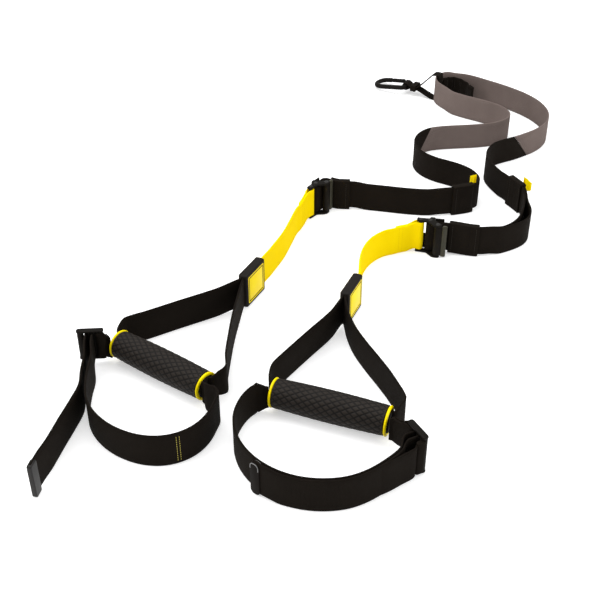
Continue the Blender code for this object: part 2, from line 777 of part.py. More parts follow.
def build_lever(side, buckle):
    low = side_plate_thickness + gap
    high = buckle_height - low
    lever = outline_solid(side + "_cam_lever", cam_outline(), low, high, "dark_metal")
    bore = upright_rod("bore", cam_pin_radius + gap, -overrun, buckle_height + overrun,
                       small_facets, "steel")
    lever = combine(lever, bore, "DIFFERENCE")
    rise = spring_turns * (2 * spring_wire + 2 * gap)
    notch_half = rise / 2 + spring_wire + gap
    middle = buckle_height / 2
    notch = box("notch", (-2 * cam_radius, -2 * cam_radius, middle - notch_half),
                (cam_radius * 0.9, 2 * cam_radius, middle + notch_half), "steel")
    lever = combine(lever, notch, "DIFFERENCE")
    move(lever, buckle.matrix() @ Matrix.Translation((cam_place, -cam_offset, 0)))
    coil_radius = cam_pin_radius + gap + spring_wire
    centres = []
    turns = 8 * spring_turns
    for step in range(turns + 1):
        angle = 2 * math.pi * spring_turns * step / turns
        centres.append(Vector((coil_radius * math.cos(angle), coil_radius * math.sin(angle),
                               middle - rise / 2 + rise * step / turns)))
    spring = helix(side + "_cam_spring", centres, spring_wire / 2, "steel")
    move(spring, buckle.matrix() @ Matrix.Translation((cam_place, -cam_offset, 0)))


def helix(name, centres, radius, slot, facets=5):
    """A wire of few sides swept along a coil about Z."""
    points = []
    count = len(centres)
    for index, centre in enumerate(centres):
        along = (centres[min(index + 1, count - 1)] - centres[max(index - 1, 0)]).normalized()
        out = Vector((centre.x, centre.y, 0)).normalized()
        up = along.cross(out).normalized()
        for step in range(facets):
            angle = 2 * math.pi * step / facets
            points.append(centre + out * radius * math.cos(angle) + up * radius * math.sin(angle))
    faces = []
    for index in range(count - 1):
        for step in range(facets):
            turn = (step + 1) % facets
            near = facets * index
            faces.append((near + step, near + turn, near + facets + turn, near + facets + step))
    faces.append(tuple(range(facets)))
    faces.append(tuple(facets * (count - 1) + step for step in reversed(range(facets))))
    mesh = mesh_of(name, points, faces)
    face_outward(mesh)
    return new_object(name, mesh, slot)


# Handles

def build_yellow_strap(side, tag, buckle, shares):
    """From the tag to the buckle's eye bar, folded round it and sewn back on itself."""
    inside = tag_length / 2 - tag_pocket_depth + gap
    face = tag_length / 2
    knots = [knot(tag.at(along, 0.0), tag_lift) for along in (inside, face, face + webbing_step)]
    knots += on_floor(shares)
    for along in (-1.6 * wrap_radius, 0.0):
        knots.append(knot(buckle.at(along, 0.0), buckle_lift))
    middle = smooth(knots)
    total = lengths(middle)
    whole = total[-1]
    spread = 4.0 * wrap_radius
    offsets = []
    for place in total:
        left_to_go = whole - place
        near = 1 - ease(left_to_go / spread)
        doubled = ease((place - (whole - yellow_fold_length - 2 * webbing_step)) / (2 * webbing_step))
        offsets.append((layer_pitch / 2 + (wrap_radius - layer_pitch / 2) * near) * doubled)
    front = beside(middle, offsets)
    folded = [i for i, place in enumerate(total) if place >= whole - yellow_fold_length]
    back = beside(middle, [-offset for offset in offsets])
    back = [back[i] for i in folded]
    turn = arc(buckle.at(0.0, 0.0), wrap_radius, buckle.heading - math.pi / 2, math.pi,
               buckle_lift, buckle_lift + webbing_width)
    samples = front + turn + list(reversed(back))
    return strap(side + "_yellow_strap", samples, "yellow_webbing")


def build_tag(side, tag):
    """A moulded block that holds the yellow strap and both arms, with an inset plate."""
    height = webbing_width + 2 * tag_lift
    half = tag_length / 2
    half_thick = tag_thickness / 2
    housing = box(side + "_tag_housing", (-half, -half_thick, 0.0), (half, half_thick, height),
                  "black_rubber", bevel=tag_corner)
    slot_half = webbing_thickness / 2 + gap
    far_slot = box("far_slot", (half - tag_pocket_depth, -slot_half, tag_wall),
                   (half + overrun, slot_half, height - tag_wall), "black_rubber")
    housing = combine(housing, far_slot, "DIFFERENCE")
    near_half = layer_pitch / 2 + webbing_thickness / 2 + gap + gap
    near_slot = box("near_slot", (-half - overrun, -near_half, tag_wall),
                    (tag_pocket_depth - half, near_half, height - tag_wall), "black_rubber")
    housing = combine(housing, near_slot, "DIFFERENCE")
    low = (tag_plate_margin - half, -half_thick - overrun, tag_plate_margin)
    high = (half - tag_plate_margin, tag_plate_depth - half_thick, height - tag_plate_margin)
    recess = box("recess", low, high, "black_rubber")
    housing = combine(housing, recess, "DIFFERENCE")
    move(housing, tag.matrix())
    plate = box(side + "_tag_plate", (low[0] + gap, -half_thick, low[2] + gap),
                (high[0] - gap, high[1] - gap, high[2] - gap), "yellow_plastic")
    move(plate, tag.matrix())


def grip_mouth(grip, end):
    """Knots of an arm that leaves the grip's left (-1) or right (1) end and turns to the tag."""
    face = grip_length / 2 + core_flange_thickness + gap + webbing_thickness / 2
    folded_low = grip_height - mouth_strap_height / 2
    folded_high = grip_height + mouth_strap_height / 2
    turn = webbing_thickness * 2.0
    return [knot(grip.at(end * (face + turn * 0.6), core_bore_radius * 0.95), folded_low, folded_high),
            knot(grip.at(end * (face + turn * 0.9), grip_radius * 1.25), folded_low * 0.4,
                 grip_height * 2 - folded_low * 0.4)]


def build_triangle(side, tag, grip, shares):
    """One strap from the tag down an arm, through the grip and up the other arm."""
    inside = tag_pocket_depth - tag_length / 2 - gap
    tag_face = -tag_length / 2
    clear = tag_face - webbing_thickness
    beside_middle = layer_pitch / 2 + gap / 2
    low = grip_height - bore_strap_height / 2
    high = grip_height + bore_strap_height / 2
    face = grip_length / 2 + core_flange_thickness
    straight = (inside, tag_face, clear)
    knots = [knot(tag.at(along, beside_middle), tag_lift) for along in straight]
    knots += on_floor(shares[0])
    knots += list(reversed(grip_mouth(grip, -1)))
    rest = webbing_thickness
    knots.append(knot(grip.at(-face, rest * 1.3), low, high))
    knots.append(knot(grip.at(-face * 0.8, rest), low, high))
    knots.append(knot(grip.at(face * 0.8, rest), low, high))
    knots.append(knot(grip.at(face, rest * 1.3), low, high))
    knots += grip_mouth(grip, 1)
    knots += list(reversed(on_floor(shares[1])))
    knots += [knot(tag.at(along, -beside_middle), tag_lift) for along in reversed(straight)]
    return strap(side + "_handle_strap", smooth(knots), "black_webbing")


def build_grip(side, grip):
    """Rubber sleeve and two end rings on a flanged core tube, all turning on the strap."""
    half = grip_length / 2
    core_radius = core_bore_radius + core_wall
    flange_radius = core_radius + core_flange_proud
    end = half + core_flange_thickness
    flanged = [(core_bore_radius, -end), (flange_radius, -end), (flange_radius, -half - gap / 2),
               (core_radius, -half - gap / 2), (core_radius, half + gap / 2),
               (flange_radius, half + gap / 2), (flange_radius, end), (core_bore_radius, end)]
    core = ring_turned(side + "_grip_core", flanged, round_facets, "black_plastic")
    seat = core_radius + gap
    inner_end = half - grip_ring_width
    soft = core_wall / 4
    reach = inner_end - gap
    bulge = [(grip_end_radius + (grip_radius - grip_end_radius) * math.cos(share * math.pi / 2),
              share * reach) for share in barrel_shares]
    sleeve = ring_turned(side + "_grip_rubber", [(seat, -reach)] + bulge + [(seat, reach)],
                         round_facets, "black_rubber")
    outer = grip_end_radius + grip_ring_proud
    rings = []
    for sign, name in ((-1, "_outer_ring"), (1, "_inner_ring")):
        near = sign * inner_end
        far = sign * half
        profile = [(seat, near), (outer - soft, near), (outer, near + sign * soft),
                   (outer, far - sign * soft), (outer - soft, far), (seat, far)]
        rings.append(ring_turned(side + "_grip" + name, profile, round_facets, "yellow_plastic"))
    for piece in [core, sleeve] + rings:
        move(piece, grip.matrix(grip_height))


# Foot cradles

def build_slider(side, slider):
    """A three-bar slider: side plates top and bottom, cast in one with the bars."""
    height = webbing_width + 2 * slider_lift
    half_length = (slider_pitch + slider_outer_pitch) / 2 + slider_bar_radius + slider_plate_rim
    half_width = slider_bar_radius + slider_plate_rim * 0.6
    outline = rounded_outline(half_length, half_width, (slider_outer_pitch - slider_pitch) / 2)
    frame = outline_solid(side + "_cradle_slider", outline, 0.0, slider_plate_thickness,
                          "dark_metal")
    top = outline_solid("top", outline, height - slider_plate_thickness, height, "dark_metal")
    sunk = slider_plate_thickness / 2
    for place in (-slider_pitch, 0.0, slider_outer_pitch):
        bar = upright_rod("bar", slider_bar_radius, sunk, height - sunk, small_facets,
                          "dark_metal")
        move(bar, Matrix.Translation((place, 0, 0)))
        frame = combine(frame, bar, "UNION")
    frame = combine(frame, top, "UNION")
    move(frame, slider.matrix())


def build_cradle(side, grip, slider, first, shares, end, cradle_side, tail_shares):
    """Webbing from one end of the grip round to the slider, through it and back as the tail."""
    wrap = slider_bar_radius + gap + webbing_thickness / 2
    face = grip_length / 2 + core_flange_thickness + gap + webbing_thickness / 2
    low = grip_height - root_strap_height / 2
    high = grip_height + root_strap_height / 2
    knots = [knot(grip.at(end * face, -core_bore_radius * 0.72), low, high),
             knot(grip.at(end * (face + webbing_thickness * 2), -core_bore_radius), low * 0.6,
                  2 * grip_height - low * 0.6),
             knot(grip.at(end * (grip_length / 2 + first[0]), -first[1]))]
    knots += on_floor(shares)
    reach = 4.0 * wrap
    leave = [knot(slider.at(-wrap, cradle_side * reach), slider_lift),
             knot(slider.at(-wrap, cradle_side * wrap), slider_lift),
             knot(slider.at(-wrap, 0.0), slider_lift)]
    main = smooth(knots + leave)
    start = slider.heading + math.pi
    turn = arc(slider.at(0.0, 0.0), wrap, start, math.pi * cradle_side, slider_lift,
               slider_lift + webbing_width)
    back = [knot(slider.at(wrap, 0.0), slider_lift),
            knot(slider.at(wrap, cradle_side * wrap), slider_lift),
            knot(slider.at(wrap, cradle_side * reach), slider_lift)]
    if tail_shares:
        tail_knots = back + on_floor(tail_shares[:-2])
        tail_knots += [knot(place, clip_lift) for place in on_floor(tail_shares[-2:])]
        tail = smooth(tail_knots)
    else:
        tail = right_tail(main, back, wrap)
    strap(side + "_cradle_strap", main + turn + tail, "black_webbing")
    build_clip(side, tail)
    build_slider_web(side, grip, slider, -end)


def right_tail(main, back, wrap):
    """The right tail: it lies against the outside of the cradle's front and stops at its clip."""
    total = lengths(main)
    start = total[-1] - 6.5 * wrap
    end = place_of(main, 1, right_tail_end_share * floor_length, after=total[-1] * 0.2)
    stretch = part_of(main, end, start)
    spread = clip_wall + 3 * gap + webbing_thickness
    stretch_total = lengths(stretch)
    distances = []
    for place in stretch_total:
        close = ease(place / (3 * clip_length))
        distances.append(spread + (layer_pitch + gap - spread) * close)
    moved = list(reversed(beside(stretch, distances)))
    lifted = []
    for index, sample in enumerate(moved):
        left_to_go = math.dist(sample[:2], moved[-1][:2])
        low = clip_lift * (1 - ease((left_to_go - clip_length) / clip_length))
        lifted.append((sample[0], sample[1], low, low + webbing_width))
    return smooth(back)[:-1] + smooth([back[-1], lifted[0]])[:-1] + lifted


def build_clip(side, tail):
    """A folded end clip that caps the last of the tail."""
    total = lengths(tail)
    stretch = part_of(tail, total[-1] - clip_overlap, total[-1])
    heading = math.atan2(stretch[-1][1] - stretch[0][1], stretch[-1][0] - stretch[0][0])
    place = spot_at(stretch[-1], heading)
    half = webbing_thickness / 2 + gap + clip_wall
    far = clip_length - clip_overlap
    height = webbing_width + 2 * clip_lift
    clip = box(side + "_end_clip", (-clip_overlap, -half, 0.0), (far, half, height), "black_plastic",
               bevel=clip_wall / 2, segments=1)
    pocket_half = webbing_thickness / 2 + gap
    pocket = box("pocket", (-clip_overlap - overrun, -pocket_half, clip_wall),
                 (gap, pocket_half, height - clip_wall), "black_plastic")
    clip = combine(clip, pocket, "DIFFERENCE")
    move(clip, place.matrix())


def build_slider_web(side, grip, slider, end):
    """Short webbing from the grip's other end, folded round the slider's first bar."""
    wrap = slider_bar_radius + gap + webbing_thickness / 2
    face = grip_length / 2 + core_flange_thickness + 2 * gap + webbing_thickness / 2
    low = grip_height - root_strap_height / 2
    high = grip_height + root_strap_height / 2
    root = grip.at(end * face, -core_bore_radius * 0.72)
    bar = slider.at(-slider_pitch, 0.0)
    away = math.atan2(bar[1] - root[1], bar[0] - root[0])
    eye = spot_at(bar, away)
    reach = math.dist(root, bar) - webbing_thickness
    top = slider_lift + webbing_width
    half = layer_pitch / 2
    front = smooth([knot(eye.at(-reach, -half), low, high),
                    knot(eye.at(-0.8 * reach, -half), low, high),
                    knot(eye.at(-wrap, -wrap * 0.9), slider_lift, top),
                    knot(eye.at(0.0, -wrap), slider_lift, top)])
    turn = arc(bar, wrap, away - math.pi / 2, math.pi, slider_lift, top)
    back = smooth([knot(eye.at(0.0, wrap), slider_lift, top),
                   knot(eye.at(-wrap, wrap * 0.9), slider_lift, top),
                   knot(eye.at(-0.8 * reach, half), low, high),
                   knot(eye.at(-reach, half), low, high)])
    strap(side + "_slider_web", front + turn + back, "black_webbing")


# Anchor and carabiner

def bend_crossing():
    """The place on the gray bend that the anchor loop hangs on, heading away from the bend."""
    turns = headings(route)
    total = lengths(route)
    beyond = [i for i in range(len(route)) if route[i][1] > bend_search_share * floor_length]
    low_x = min(beyond, key=lambda i: route[i][0])
    window = bend_window_share * floor_length
    nearby = [i for i in beyond if abs(total[i] - total[low_x]) < window]
    index = min(nearby, key=lambda i: abs(turns[i] - anchor_bend_heading))
    return spot_at(route[index], turns[index] + math.pi / 2), total[index]


def anchor_profile():
    """Closed loop of (along, height) points round the gray strap and the carabiner's bar."""
    half = webbing_thickness / 2
    inner = -(half + bend_allowance + half + gap)
    top = anchor_lift + webbing_width + gap + half
    bottom = half
    eye = carabiner_rod_radius + gap + half
    turn = webbing_thickness * 1.2
    eye_place = anchor_eye_reach
    close = layer_pitch / 2
    wrap_start = eye_place - eye - anchor_wrap_length
    points = [(inner + turn * 0.3, bottom + turn * 0.3), (inner + turn, bottom),
              (turn * 2, bottom), (wrap_start * 0.5, (bottom + anchor_eye_height - close) * 0.42),
              (wrap_start, anchor_eye_height - close),
              (eye_place - eye * 1.6, anchor_eye_height - close)]
    for step in range(9):
        angle = math.radians(-130) + math.radians(260) * step / 8
        points.append((eye_place + eye * math.cos(angle), anchor_eye_height + eye * math.sin(angle)))
    points += [(eye_place - eye * 1.6, anchor_eye_height + close),
               (wrap_start, anchor_eye_height + close),
               (wrap_start * 0.55, anchor_eye_height + (top - anchor_eye_height) * 0.52),
               (turn * 2, top - turn * 0.35), (0.0, top), (inner + turn, top),
               (inner + turn * 0.3, top - turn * 0.3), (inner, top - turn),
               (inner, bottom + turn)]
    return points, wrap_start, eye_place - eye


def build_anchor():
    crossing, place = bend_crossing()
    points, wrap_start, wrap_end = anchor_profile()
    half = anchor_width / 2
    lows = [Vector((along, -half, height)) for along, height in points]
    highs = [Vector((along, half, height)) for along, height in points]
    loop = ribbon("anchor_loop", lows, highs, webbing_thickness, "black_webbing", closed=True)
    move(loop, crossing.matrix())
    inner = layer_pitch / 2 + webbing_thickness / 2 + gap
    rings = []
    for extra in (0.0, anchor_wrap_wall):
        tall = inner + extra
        wide = half + gap + extra
        rings.append([[Vector((along, -wide, anchor_eye_height - tall)),
                       Vector((along, wide, anchor_eye_height - tall)),
                       Vector((along, wide, anchor_eye_height + tall)),
                       Vector((along, -wide, anchor_eye_height + tall))]
                      for along in (wrap_start + gap, wrap_end - 2 * webbing_thickness)])
    wrap = tube_through("anchor_wrap", rings[0], rings[1], "black_webbing")
    move(wrap, crossing.matrix())
    pad_start = place + half + gap + webbing_step
    pad_length = pad_length_share * floor_length
    stretch = part_of(route, pad_start, pad_start + pad_length)
    pitch = webbing_thickness + gap
    pad = beside(stretch, [pitch] * len(stretch))
    strap("equalizer_pad", pad, "black_webbing")
    return crossing


def carabiner_centres():
    """Rod centres from the gate's nose round the wide end, down the spine to the gate's hinge."""
    radius = carabiner_rod_radius
    half = carabiner_width / 2 - radius
    length = carabiner_length - 2 * radius
    straight = anchor_width / 2 + gap
    corner = half * 0.88 - straight
    nose = length * 0.64
    points = [(nose, half), (length - half * 1.2, half)]
    for step in range(1, 8):
        angle = math.pi / 2 - math.pi * step / 8
        points.append((length - half * 0.9 + half * 0.9 * math.cos(angle), half * math.sin(angle)))
    points += [(length - half * 1.2, -half), (length * 0.5, -half * 0.97),
               (corner * 2.2, -half * 0.91)]
    for side in (-1, 1):
        for step in range(4):
            angle = side * math.radians(10 + 26 * (3 - step if side < 0 else step))
            points.append((corner * (1 - math.cos(angle)),
                           side * straight + corner * math.sin(angle)))
    points.append((corner * 1.25, half * 0.88))
    return points, nose


def smooth_plain(points, step):
    knots = [(x, y, 0.0, 0.0) for x, y in points]
    return [Vector((x, y, 0)) for x, y, low, high in smooth(knots, step)]


def build_carabiner(crossing):
    """A snap hook: rod body with a tongue, forked gate on a pin, and a plunger."""
    points, nose = carabiner_centres()
    radius = carabiner_rod_radius
    half = carabiner_width / 2 - radius
    centres = smooth_plain(points, rod_step)
    body = rod_through("carabiner_body", centres, radius, rod_facets, "dark_metal")
    hinge = points[-1]
    gate_end = nose - gap
    hinge_place = (hinge[0] + radius * 1.9, hinge[1] + radius * 0.55)
    gate_angle = math.atan2(half - hinge_place[1], gate_end - hinge_place[0])
    gate_spot = spot_at(hinge_place, gate_angle)
    tongue_half = gate_tongue_thickness / 2
    reach = radius * 2.2
    tongue_radius = gate_pin_radius * 1.9
    tongue_outline = rounded_outline((reach + tongue_radius) / 2, tongue_radius,
                                     (tongue_radius - reach) / 2)
    tongue = outline_solid("tongue", tongue_outline, -tongue_half, tongue_half, "dark_metal")
    move(tongue, gate_spot.matrix())
    body = combine(body, tongue, "UNION")
    hole = upright_rod("hole", gate_pin_radius + gap / 3, -2 * radius, 2 * radius, small_facets,
                       "steel")
    move(hole, gate_spot.matrix())
    body = combine(body, hole, "DIFFERENCE")
    gate_length = math.dist(hinge_place, (gate_end, half)) - 2 * gap
    profile = [(gate_radius * 0.8, -gate_radius), (gate_radius, -gate_radius / 2),
               (gate_radius, gate_length - gate_radius / 2), (gate_radius * 0.85, gate_length)]
    gate = turned_bar("carabiner_gate", profile, small_facets, "dark_metal")
    fork = box("fork", (-2 * gate_radius, -2 * gate_radius, -tongue_half - gap),
               (tongue_radius + 2 * gap, 2 * gate_radius, tongue_half + gap), "steel")
    gate = combine(gate, fork, "DIFFERENCE")
    eye = upright_rod("eye", gate_pin_radius + gap / 3, -2 * radius, 2 * radius, small_facets,
                      "steel")
    gate = combine(gate, eye, "DIFFERENCE")
    bore_length = gate_length * 0.45
    bore_start = tongue_radius + gap
    bore = turned_bar("bore", [(plunger_radius + gap, bore_start - overrun),
                               (plunger_radius + gap, bore_start + bore_length)],
                      small_facets, "steel")
    gate = combine(gate, bore, "DIFFERENCE")
    plunger = turned_bar("gate_plunger", [(plunger_radius * 0.7, bore_start),
                                          (plunger_radius, bore_start + plunger_radius),
                                          (plunger_radius, bore_start + bore_length - 2 * gap)],
                         small_facets, "steel")
    pin = upright_rod("gate_pin", gate_pin_radius, -gate_radius, gate_radius, small_facets, "steel")
    for piece in (gate, plunger, pin):
        move(piece, gate_spot.matrix())
    lift = Matrix.Translation((anchor_eye_reach, 0, anchor_eye_height))
    tilt = Matrix.Rotation(carabiner_pitch, 4, "Y")
    flip = Matrix.Scale(-1, 4, (0, 1, 0))
    place = crossing.matrix() @ lift @ tilt @ flip
    for piece in (body, gate, plunger, pin):
        move(piece, place)
        face_outward(piece.data)
    pivots["carabiner"] = (crossing.matrix() @ lift).translation
    pivots["gate"] = (place @ gate_spot.matrix()).translation
    axes["carabiner"] = (crossing.matrix().to_3x3() @ Vector((0, 1, 0)))
    axes["gate"] = (place.to_3x3() @ Vector((0, 0, 1)))


def turned_bar(name, profile, facets, slot):
    """A solid bar of (radius, along) points turned about X, with flat ends."""
    points = []
    for radius, along in profile:
        for step in range(facets):
            angle = 2 * math.pi * step / facets
            points.append((along, radius * math.sin(angle), radius * math.cos(angle)))
    faces = []
    count = len(profile)
    for index in range(count - 1):
        for step in range(facets):
            turn = (step + 1) % facets
            near = facets * index
            faces.append((near + step, near + turn, near + facets + turn, near + facets + step))
    faces.append(tuple(range(facets)))
    faces.append(tuple(facets * (count - 1) + step for step in reversed(range(facets))))
    mesh = mesh_of(name, points, faces)
    face_outward(mesh)
    return new_object(name, mesh, slot)


# Bodies

pivots = {}
axes = {}


def gather():
    """Centres the whole part on the floor and hangs each moving group on an empty."""
    pieces = [piece for piece in bpy.context.scene.objects if piece.type == "MESH"]
    points = [vert.co for piece in pieces for vert in piece.data.vertices]
    low = [min(point[axis] for point in points) for axis in range(3)]
    high = [max(point[axis] for point in points) for axis in range(3)]
    shift = Vector((-(low[0] + high[0]) / 2, -(low[1] + high[1]) / 2, -low[2]))
    for piece in pieces:
        move(piece, Matrix.Translation(shift))
    print("size", [round(top - bottom, 4) for bottom, top in zip(low, high)])
    print("shift", [round(value, 5) for value in shift])
    for name, place in pivots.items():
        pivot = place + shift
        empty = bpy.data.objects.new(name + "_pivot", None)
        bpy.context.scene.collection.objects.link(empty)
        empty.location = pivot
        print("pivot", name, [round(v, 5) for v in pivot], [round(v, 5) for v in axes[name]])
        for piece in pieces:
            if piece.name in members[name]:
                piece.parent = empty
                piece.location = -pivot
    bpy.context.view_layer.update()


def handle_pieces(side):
    return [side + "_yellow_strap", side + "_tag_housing", side + "_tag_plate", side + "_handle_strap"]


def grip_pieces(side):
    return [side + "_grip_core", side + "_grip_rubber", side + "_grip_outer_ring",
            side + "_grip_inner_ring"]


def cradle_pieces(side):
    return [side + "_cradle_strap", side + "_cradle_slider", side + "_slider_web",
            side + "_end_clip"]


members = {"carabiner": ["carabiner_body", "gate_pin"], "gate": ["carabiner_gate", "gate_plunger"]}
for side_name in ("left", "right"):
    members[side_name + "_handle"] = handle_pieces(side_name)
    members[side_name + "_grip"] = grip_pieces(side_name)
    members[side_name + "_cradle"] = cradle_pieces(side_name)
    members[side_name + "_lever"] = [side_name + "_cam_lever"]


def keep_pivots(side, buckle, grip):
    upright = Vector((0, 0, 1))
    pivots[side + "_handle"] = Vector((buckle.x, buckle.y, grip_height))
    pivots[side + "_grip"] = Vector((grip.x, grip.y, grip_height))
    pivots[side + "_cradle"] = Vector((grip.x, grip.y, grip_height))
    cam = buckle.at(cam_place, -cam_offset)
    pivots[side + "_lever"] = Vector((cam[0], cam[1], buckle_height / 2))
    along = Vector((math.cos(grip.heading), math.sin(grip.heading), 0))
    axes[side + "_handle"] = upright
    axes[side + "_lever"] = upright
    axes[side + "_grip"] = along
    axes[side + "_cradle"] = along


def build():
    for old in list(bpy.data.objects):
        bpy.data.objects.remove(old)
    build_gray_strap()
    build_side_strap("left", left_buckle, (left_sleeve_reach, left_sleeve_length),
                     lambda main: place_of(main, 0, left_keeper_share * floor_length), 0.0)
    build_side_strap("right", right_buckle, (right_sleeve_reach, right_sleeve_length),
                     lambda main: place_of(main, 1, right_keeper_share * floor_length),
                     tail_bulge)
    build_buckle("left", left_buckle)
    build_buckle("right", right_buckle)
    build_yellow_strap("left", left_tag, left_buckle, left_yellow_shares)
    build_yellow_strap("right", right_tag, right_buckle, right_yellow_shares)
    build_tag("left", left_tag)
    build_tag("right", right_tag)
    build_triangle("left", left_tag, left_grip, left_arm_shares)
    build_triangle("right", right_tag, right_grip, right_arm_shares)
    build_grip("left", left_grip)
    build_grip("right", right_grip)
    build_slider("left", left_slider)
    build_slider("right", right_slider)
    build_cradle("left", left_grip, left_slider, (left_cradle_reach, left_cradle_set_back),
                 left_cradle_shares, 1, 1, left_tail_shares)
    build_cradle("right", right_grip, right_slider, (right_cradle_reach, right_cradle_set_back),
                 right_cradle_shares, -1, -1, None)
    crossing = build_anchor()
    build_carabiner(crossing)
    keep_pivots("left", left_buckle, left_grip)
    keep_pivots("right", right_buckle, right_grip)
    gather()


build()
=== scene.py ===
import json
import math

import bmesh
import bpy
from mathutils import Matrix, Vector


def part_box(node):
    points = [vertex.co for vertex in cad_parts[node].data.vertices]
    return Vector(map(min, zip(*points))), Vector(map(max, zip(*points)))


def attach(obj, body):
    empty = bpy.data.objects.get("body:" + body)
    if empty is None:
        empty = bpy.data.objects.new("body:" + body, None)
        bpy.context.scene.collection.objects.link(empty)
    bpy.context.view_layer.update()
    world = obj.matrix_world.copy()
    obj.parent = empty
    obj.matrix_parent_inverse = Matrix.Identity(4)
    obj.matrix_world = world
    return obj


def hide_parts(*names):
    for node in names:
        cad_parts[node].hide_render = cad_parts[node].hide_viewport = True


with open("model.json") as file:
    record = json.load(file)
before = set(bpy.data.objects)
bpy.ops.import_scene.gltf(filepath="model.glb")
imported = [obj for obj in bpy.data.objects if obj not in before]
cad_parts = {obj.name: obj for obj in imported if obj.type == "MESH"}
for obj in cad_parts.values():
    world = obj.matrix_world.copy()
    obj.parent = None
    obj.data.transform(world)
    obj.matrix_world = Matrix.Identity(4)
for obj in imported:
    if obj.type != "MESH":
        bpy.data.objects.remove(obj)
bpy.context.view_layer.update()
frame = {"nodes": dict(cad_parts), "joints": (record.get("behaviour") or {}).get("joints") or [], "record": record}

scene = bpy.context.scene
nodes = frame["nodes"]
record = frame["record"]
sides = ("left", "right")
slotOf = {entry["node"]: entry["material_slot"] for entry in record["subparts"]}
bodyOf = {node: body for body, members in record["behaviour"]["bodies"].items() for node in members}
jointPlace = {joint["name"]: Vector(joint["pos_m"]) for joint in frame["joints"]}
jointAxis = {joint["name"]: Vector(joint["axis"]) for joint in frame["joints"]}
upward = Vector((0, 0, 1))


# Camera, floor and light

view = {
    "place": (-0.0653, -1.1202, 0.676),
    "tilt": 35.0,            # degrees below the horizon
    "lens": 60.3,
}


def aimCamera():
    bpy.ops.object.camera_add(location=view["place"], rotation=(math.radians(90 - view["tilt"]), 0, 0))
    camera = bpy.context.object
    camera.name = "photoCamera"
    camera.data.sensor_width = 36
    camera.data.lens = view["lens"]
    camera.data.clip_start = 0.01
    scene.camera = camera


studio = {
    "floorSize": 14.0,
    "drop": 0.0004,          # the floor lies just under the webbing
    "floorGlow": 0.45,
    "floorWhite": 0.78,
    "worldLevel": 0.68,
    "lamps": [
        # name, place, size, watts
        ("topSoft", (-0.4, 0.3, 2.6), 2.4, 54),
        ("leftSoft", (-2.0, -0.8, 1.5), 1.4, 20),
        ("rightSoft", (1.9, -0.5, 1.3), 1.2, 16),
    ],
}


def whiteBehind(material, level, ground):
    # what the camera and reflections see is plain white, and shadows still darken it
    tree = material.node_tree
    for old in list(tree.nodes):
        tree.nodes.remove(old)
    out = tree.nodes.new("ShaderNodeOutputMaterial")
    path = tree.nodes.new("ShaderNodeLightPath")
    seen = addMath(tree, "MAXIMUM", path.outputs["Is Camera Ray"], path.outputs["Is Glossy Ray"])
    seenToo = addMath(tree, "MAXIMUM", seen, path.outputs["Is Transmission Ray"])
    plain = tree.nodes.new("ShaderNodeBsdfDiffuse")
    plain.inputs["Color"].default_value = (ground, ground, ground, 1)
    glow = tree.nodes.new("ShaderNodeEmission")
    glow.inputs["Strength"].default_value = level
    both = tree.nodes.new("ShaderNodeAddShader")
    mix = tree.nodes.new("ShaderNodeMixShader")
    for start, end in ((plain.outputs[0], both.inputs[0]), (glow.outputs[0], both.inputs[1]),
                       (seenToo, mix.inputs[0]), (plain.outputs[0], mix.inputs[1]),
                       (both.outputs[0], mix.inputs[2]), (mix.outputs[0], out.inputs["Surface"])):
        tree.links.new(start, end)


def lightStudio():
    scene.view_settings.view_transform = "Standard"
    world = bpy.data.worlds.new("studioWorld")
    scene.world = world
    world.use_nodes = True
    tree = world.node_tree
    background = tree.nodes["Background"]
    path = tree.nodes.new("ShaderNodeLightPath")
    level = tree.nodes.new("ShaderNodeMix")
    level.data_type = "FLOAT"
    level.inputs[2].default_value = studio["worldLevel"]
    level.inputs[3].default_value = 1.0
    tree.links.new(path.outputs["Is Camera Ray"], level.inputs[0])
    tree.links.new(level.outputs[0], background.inputs["Strength"])
    background.inputs["Color"].default_value = (1, 1, 1, 1)
    bpy.ops.mesh.primitive_plane_add(size=studio["floorSize"], location=(0, 0, -studio["drop"]))
    floor = bpy.context.object
    floor.name = "studioFloor"
    paper = bpy.data.materials.new("whitePaper")
    paper.use_nodes = True
    whiteBehind(paper, studio["floorGlow"], studio["floorWhite"])
    floor.data.materials.append(paper)
    for name, place, size, watts in studio["lamps"]:
        bpy.ops.object.light_add(type="AREA", location=place)
        lamp = bpy.context.object
        lamp.name = name
        lamp.data.size = size
        lamp.data.energy = watts
        lamp.rotation_euler = (Vector((0, 0, 0)) - Vector(place)).to_track_quat("-Z", "Y").to_euler()


# Finishes

def newFinish(name, roughness, metallic=0.0, specular=0.5):
    made = bpy.data.materials.new(name)
    made.use_nodes = True
    shader = made.node_tree.nodes["Principled BSDF"]
    shader.inputs["Roughness"].default_value = roughness
    shader.inputs["Metallic"].default_value = metallic
    shader.inputs["Specular IOR Level"].default_value = specular
    return made, made.node_tree, shader


def addMath(tree, kind, first, second, clamp=False):
    node = tree.nodes.new("ShaderNodeMath")
    node.operation = kind
    node.use_clamp = clamp
    for socket, value in zip(node.inputs, (first, second)):
        if isinstance(value, (int, float)):
            socket.default_value = value
        else:
            tree.links.new(value, socket)
    return node.outputs[0]


def addNoise(tree, vector, scale, detail=3.0):
    node = tree.nodes.new("ShaderNodeTexNoise")
    node.inputs["Scale"].default_value = scale
    node.inputs["Detail"].default_value = detail
    tree.links.new(vector, node.inputs["Vector"])
    return node.outputs["Fac"]


def mixColours(tree, share, dark, light):
    node = tree.nodes.new("ShaderNodeMix")
    node.data_type = "RGBA"
    for socket, value in ((node.inputs[6], dark), (node.inputs[7], light)):
        if isinstance(value, tuple):
            socket.default_value = (*value, 1)
        else:
            tree.links.new(value, socket)
    tree.links.new(share, node.inputs[0])
    return node.outputs[2]


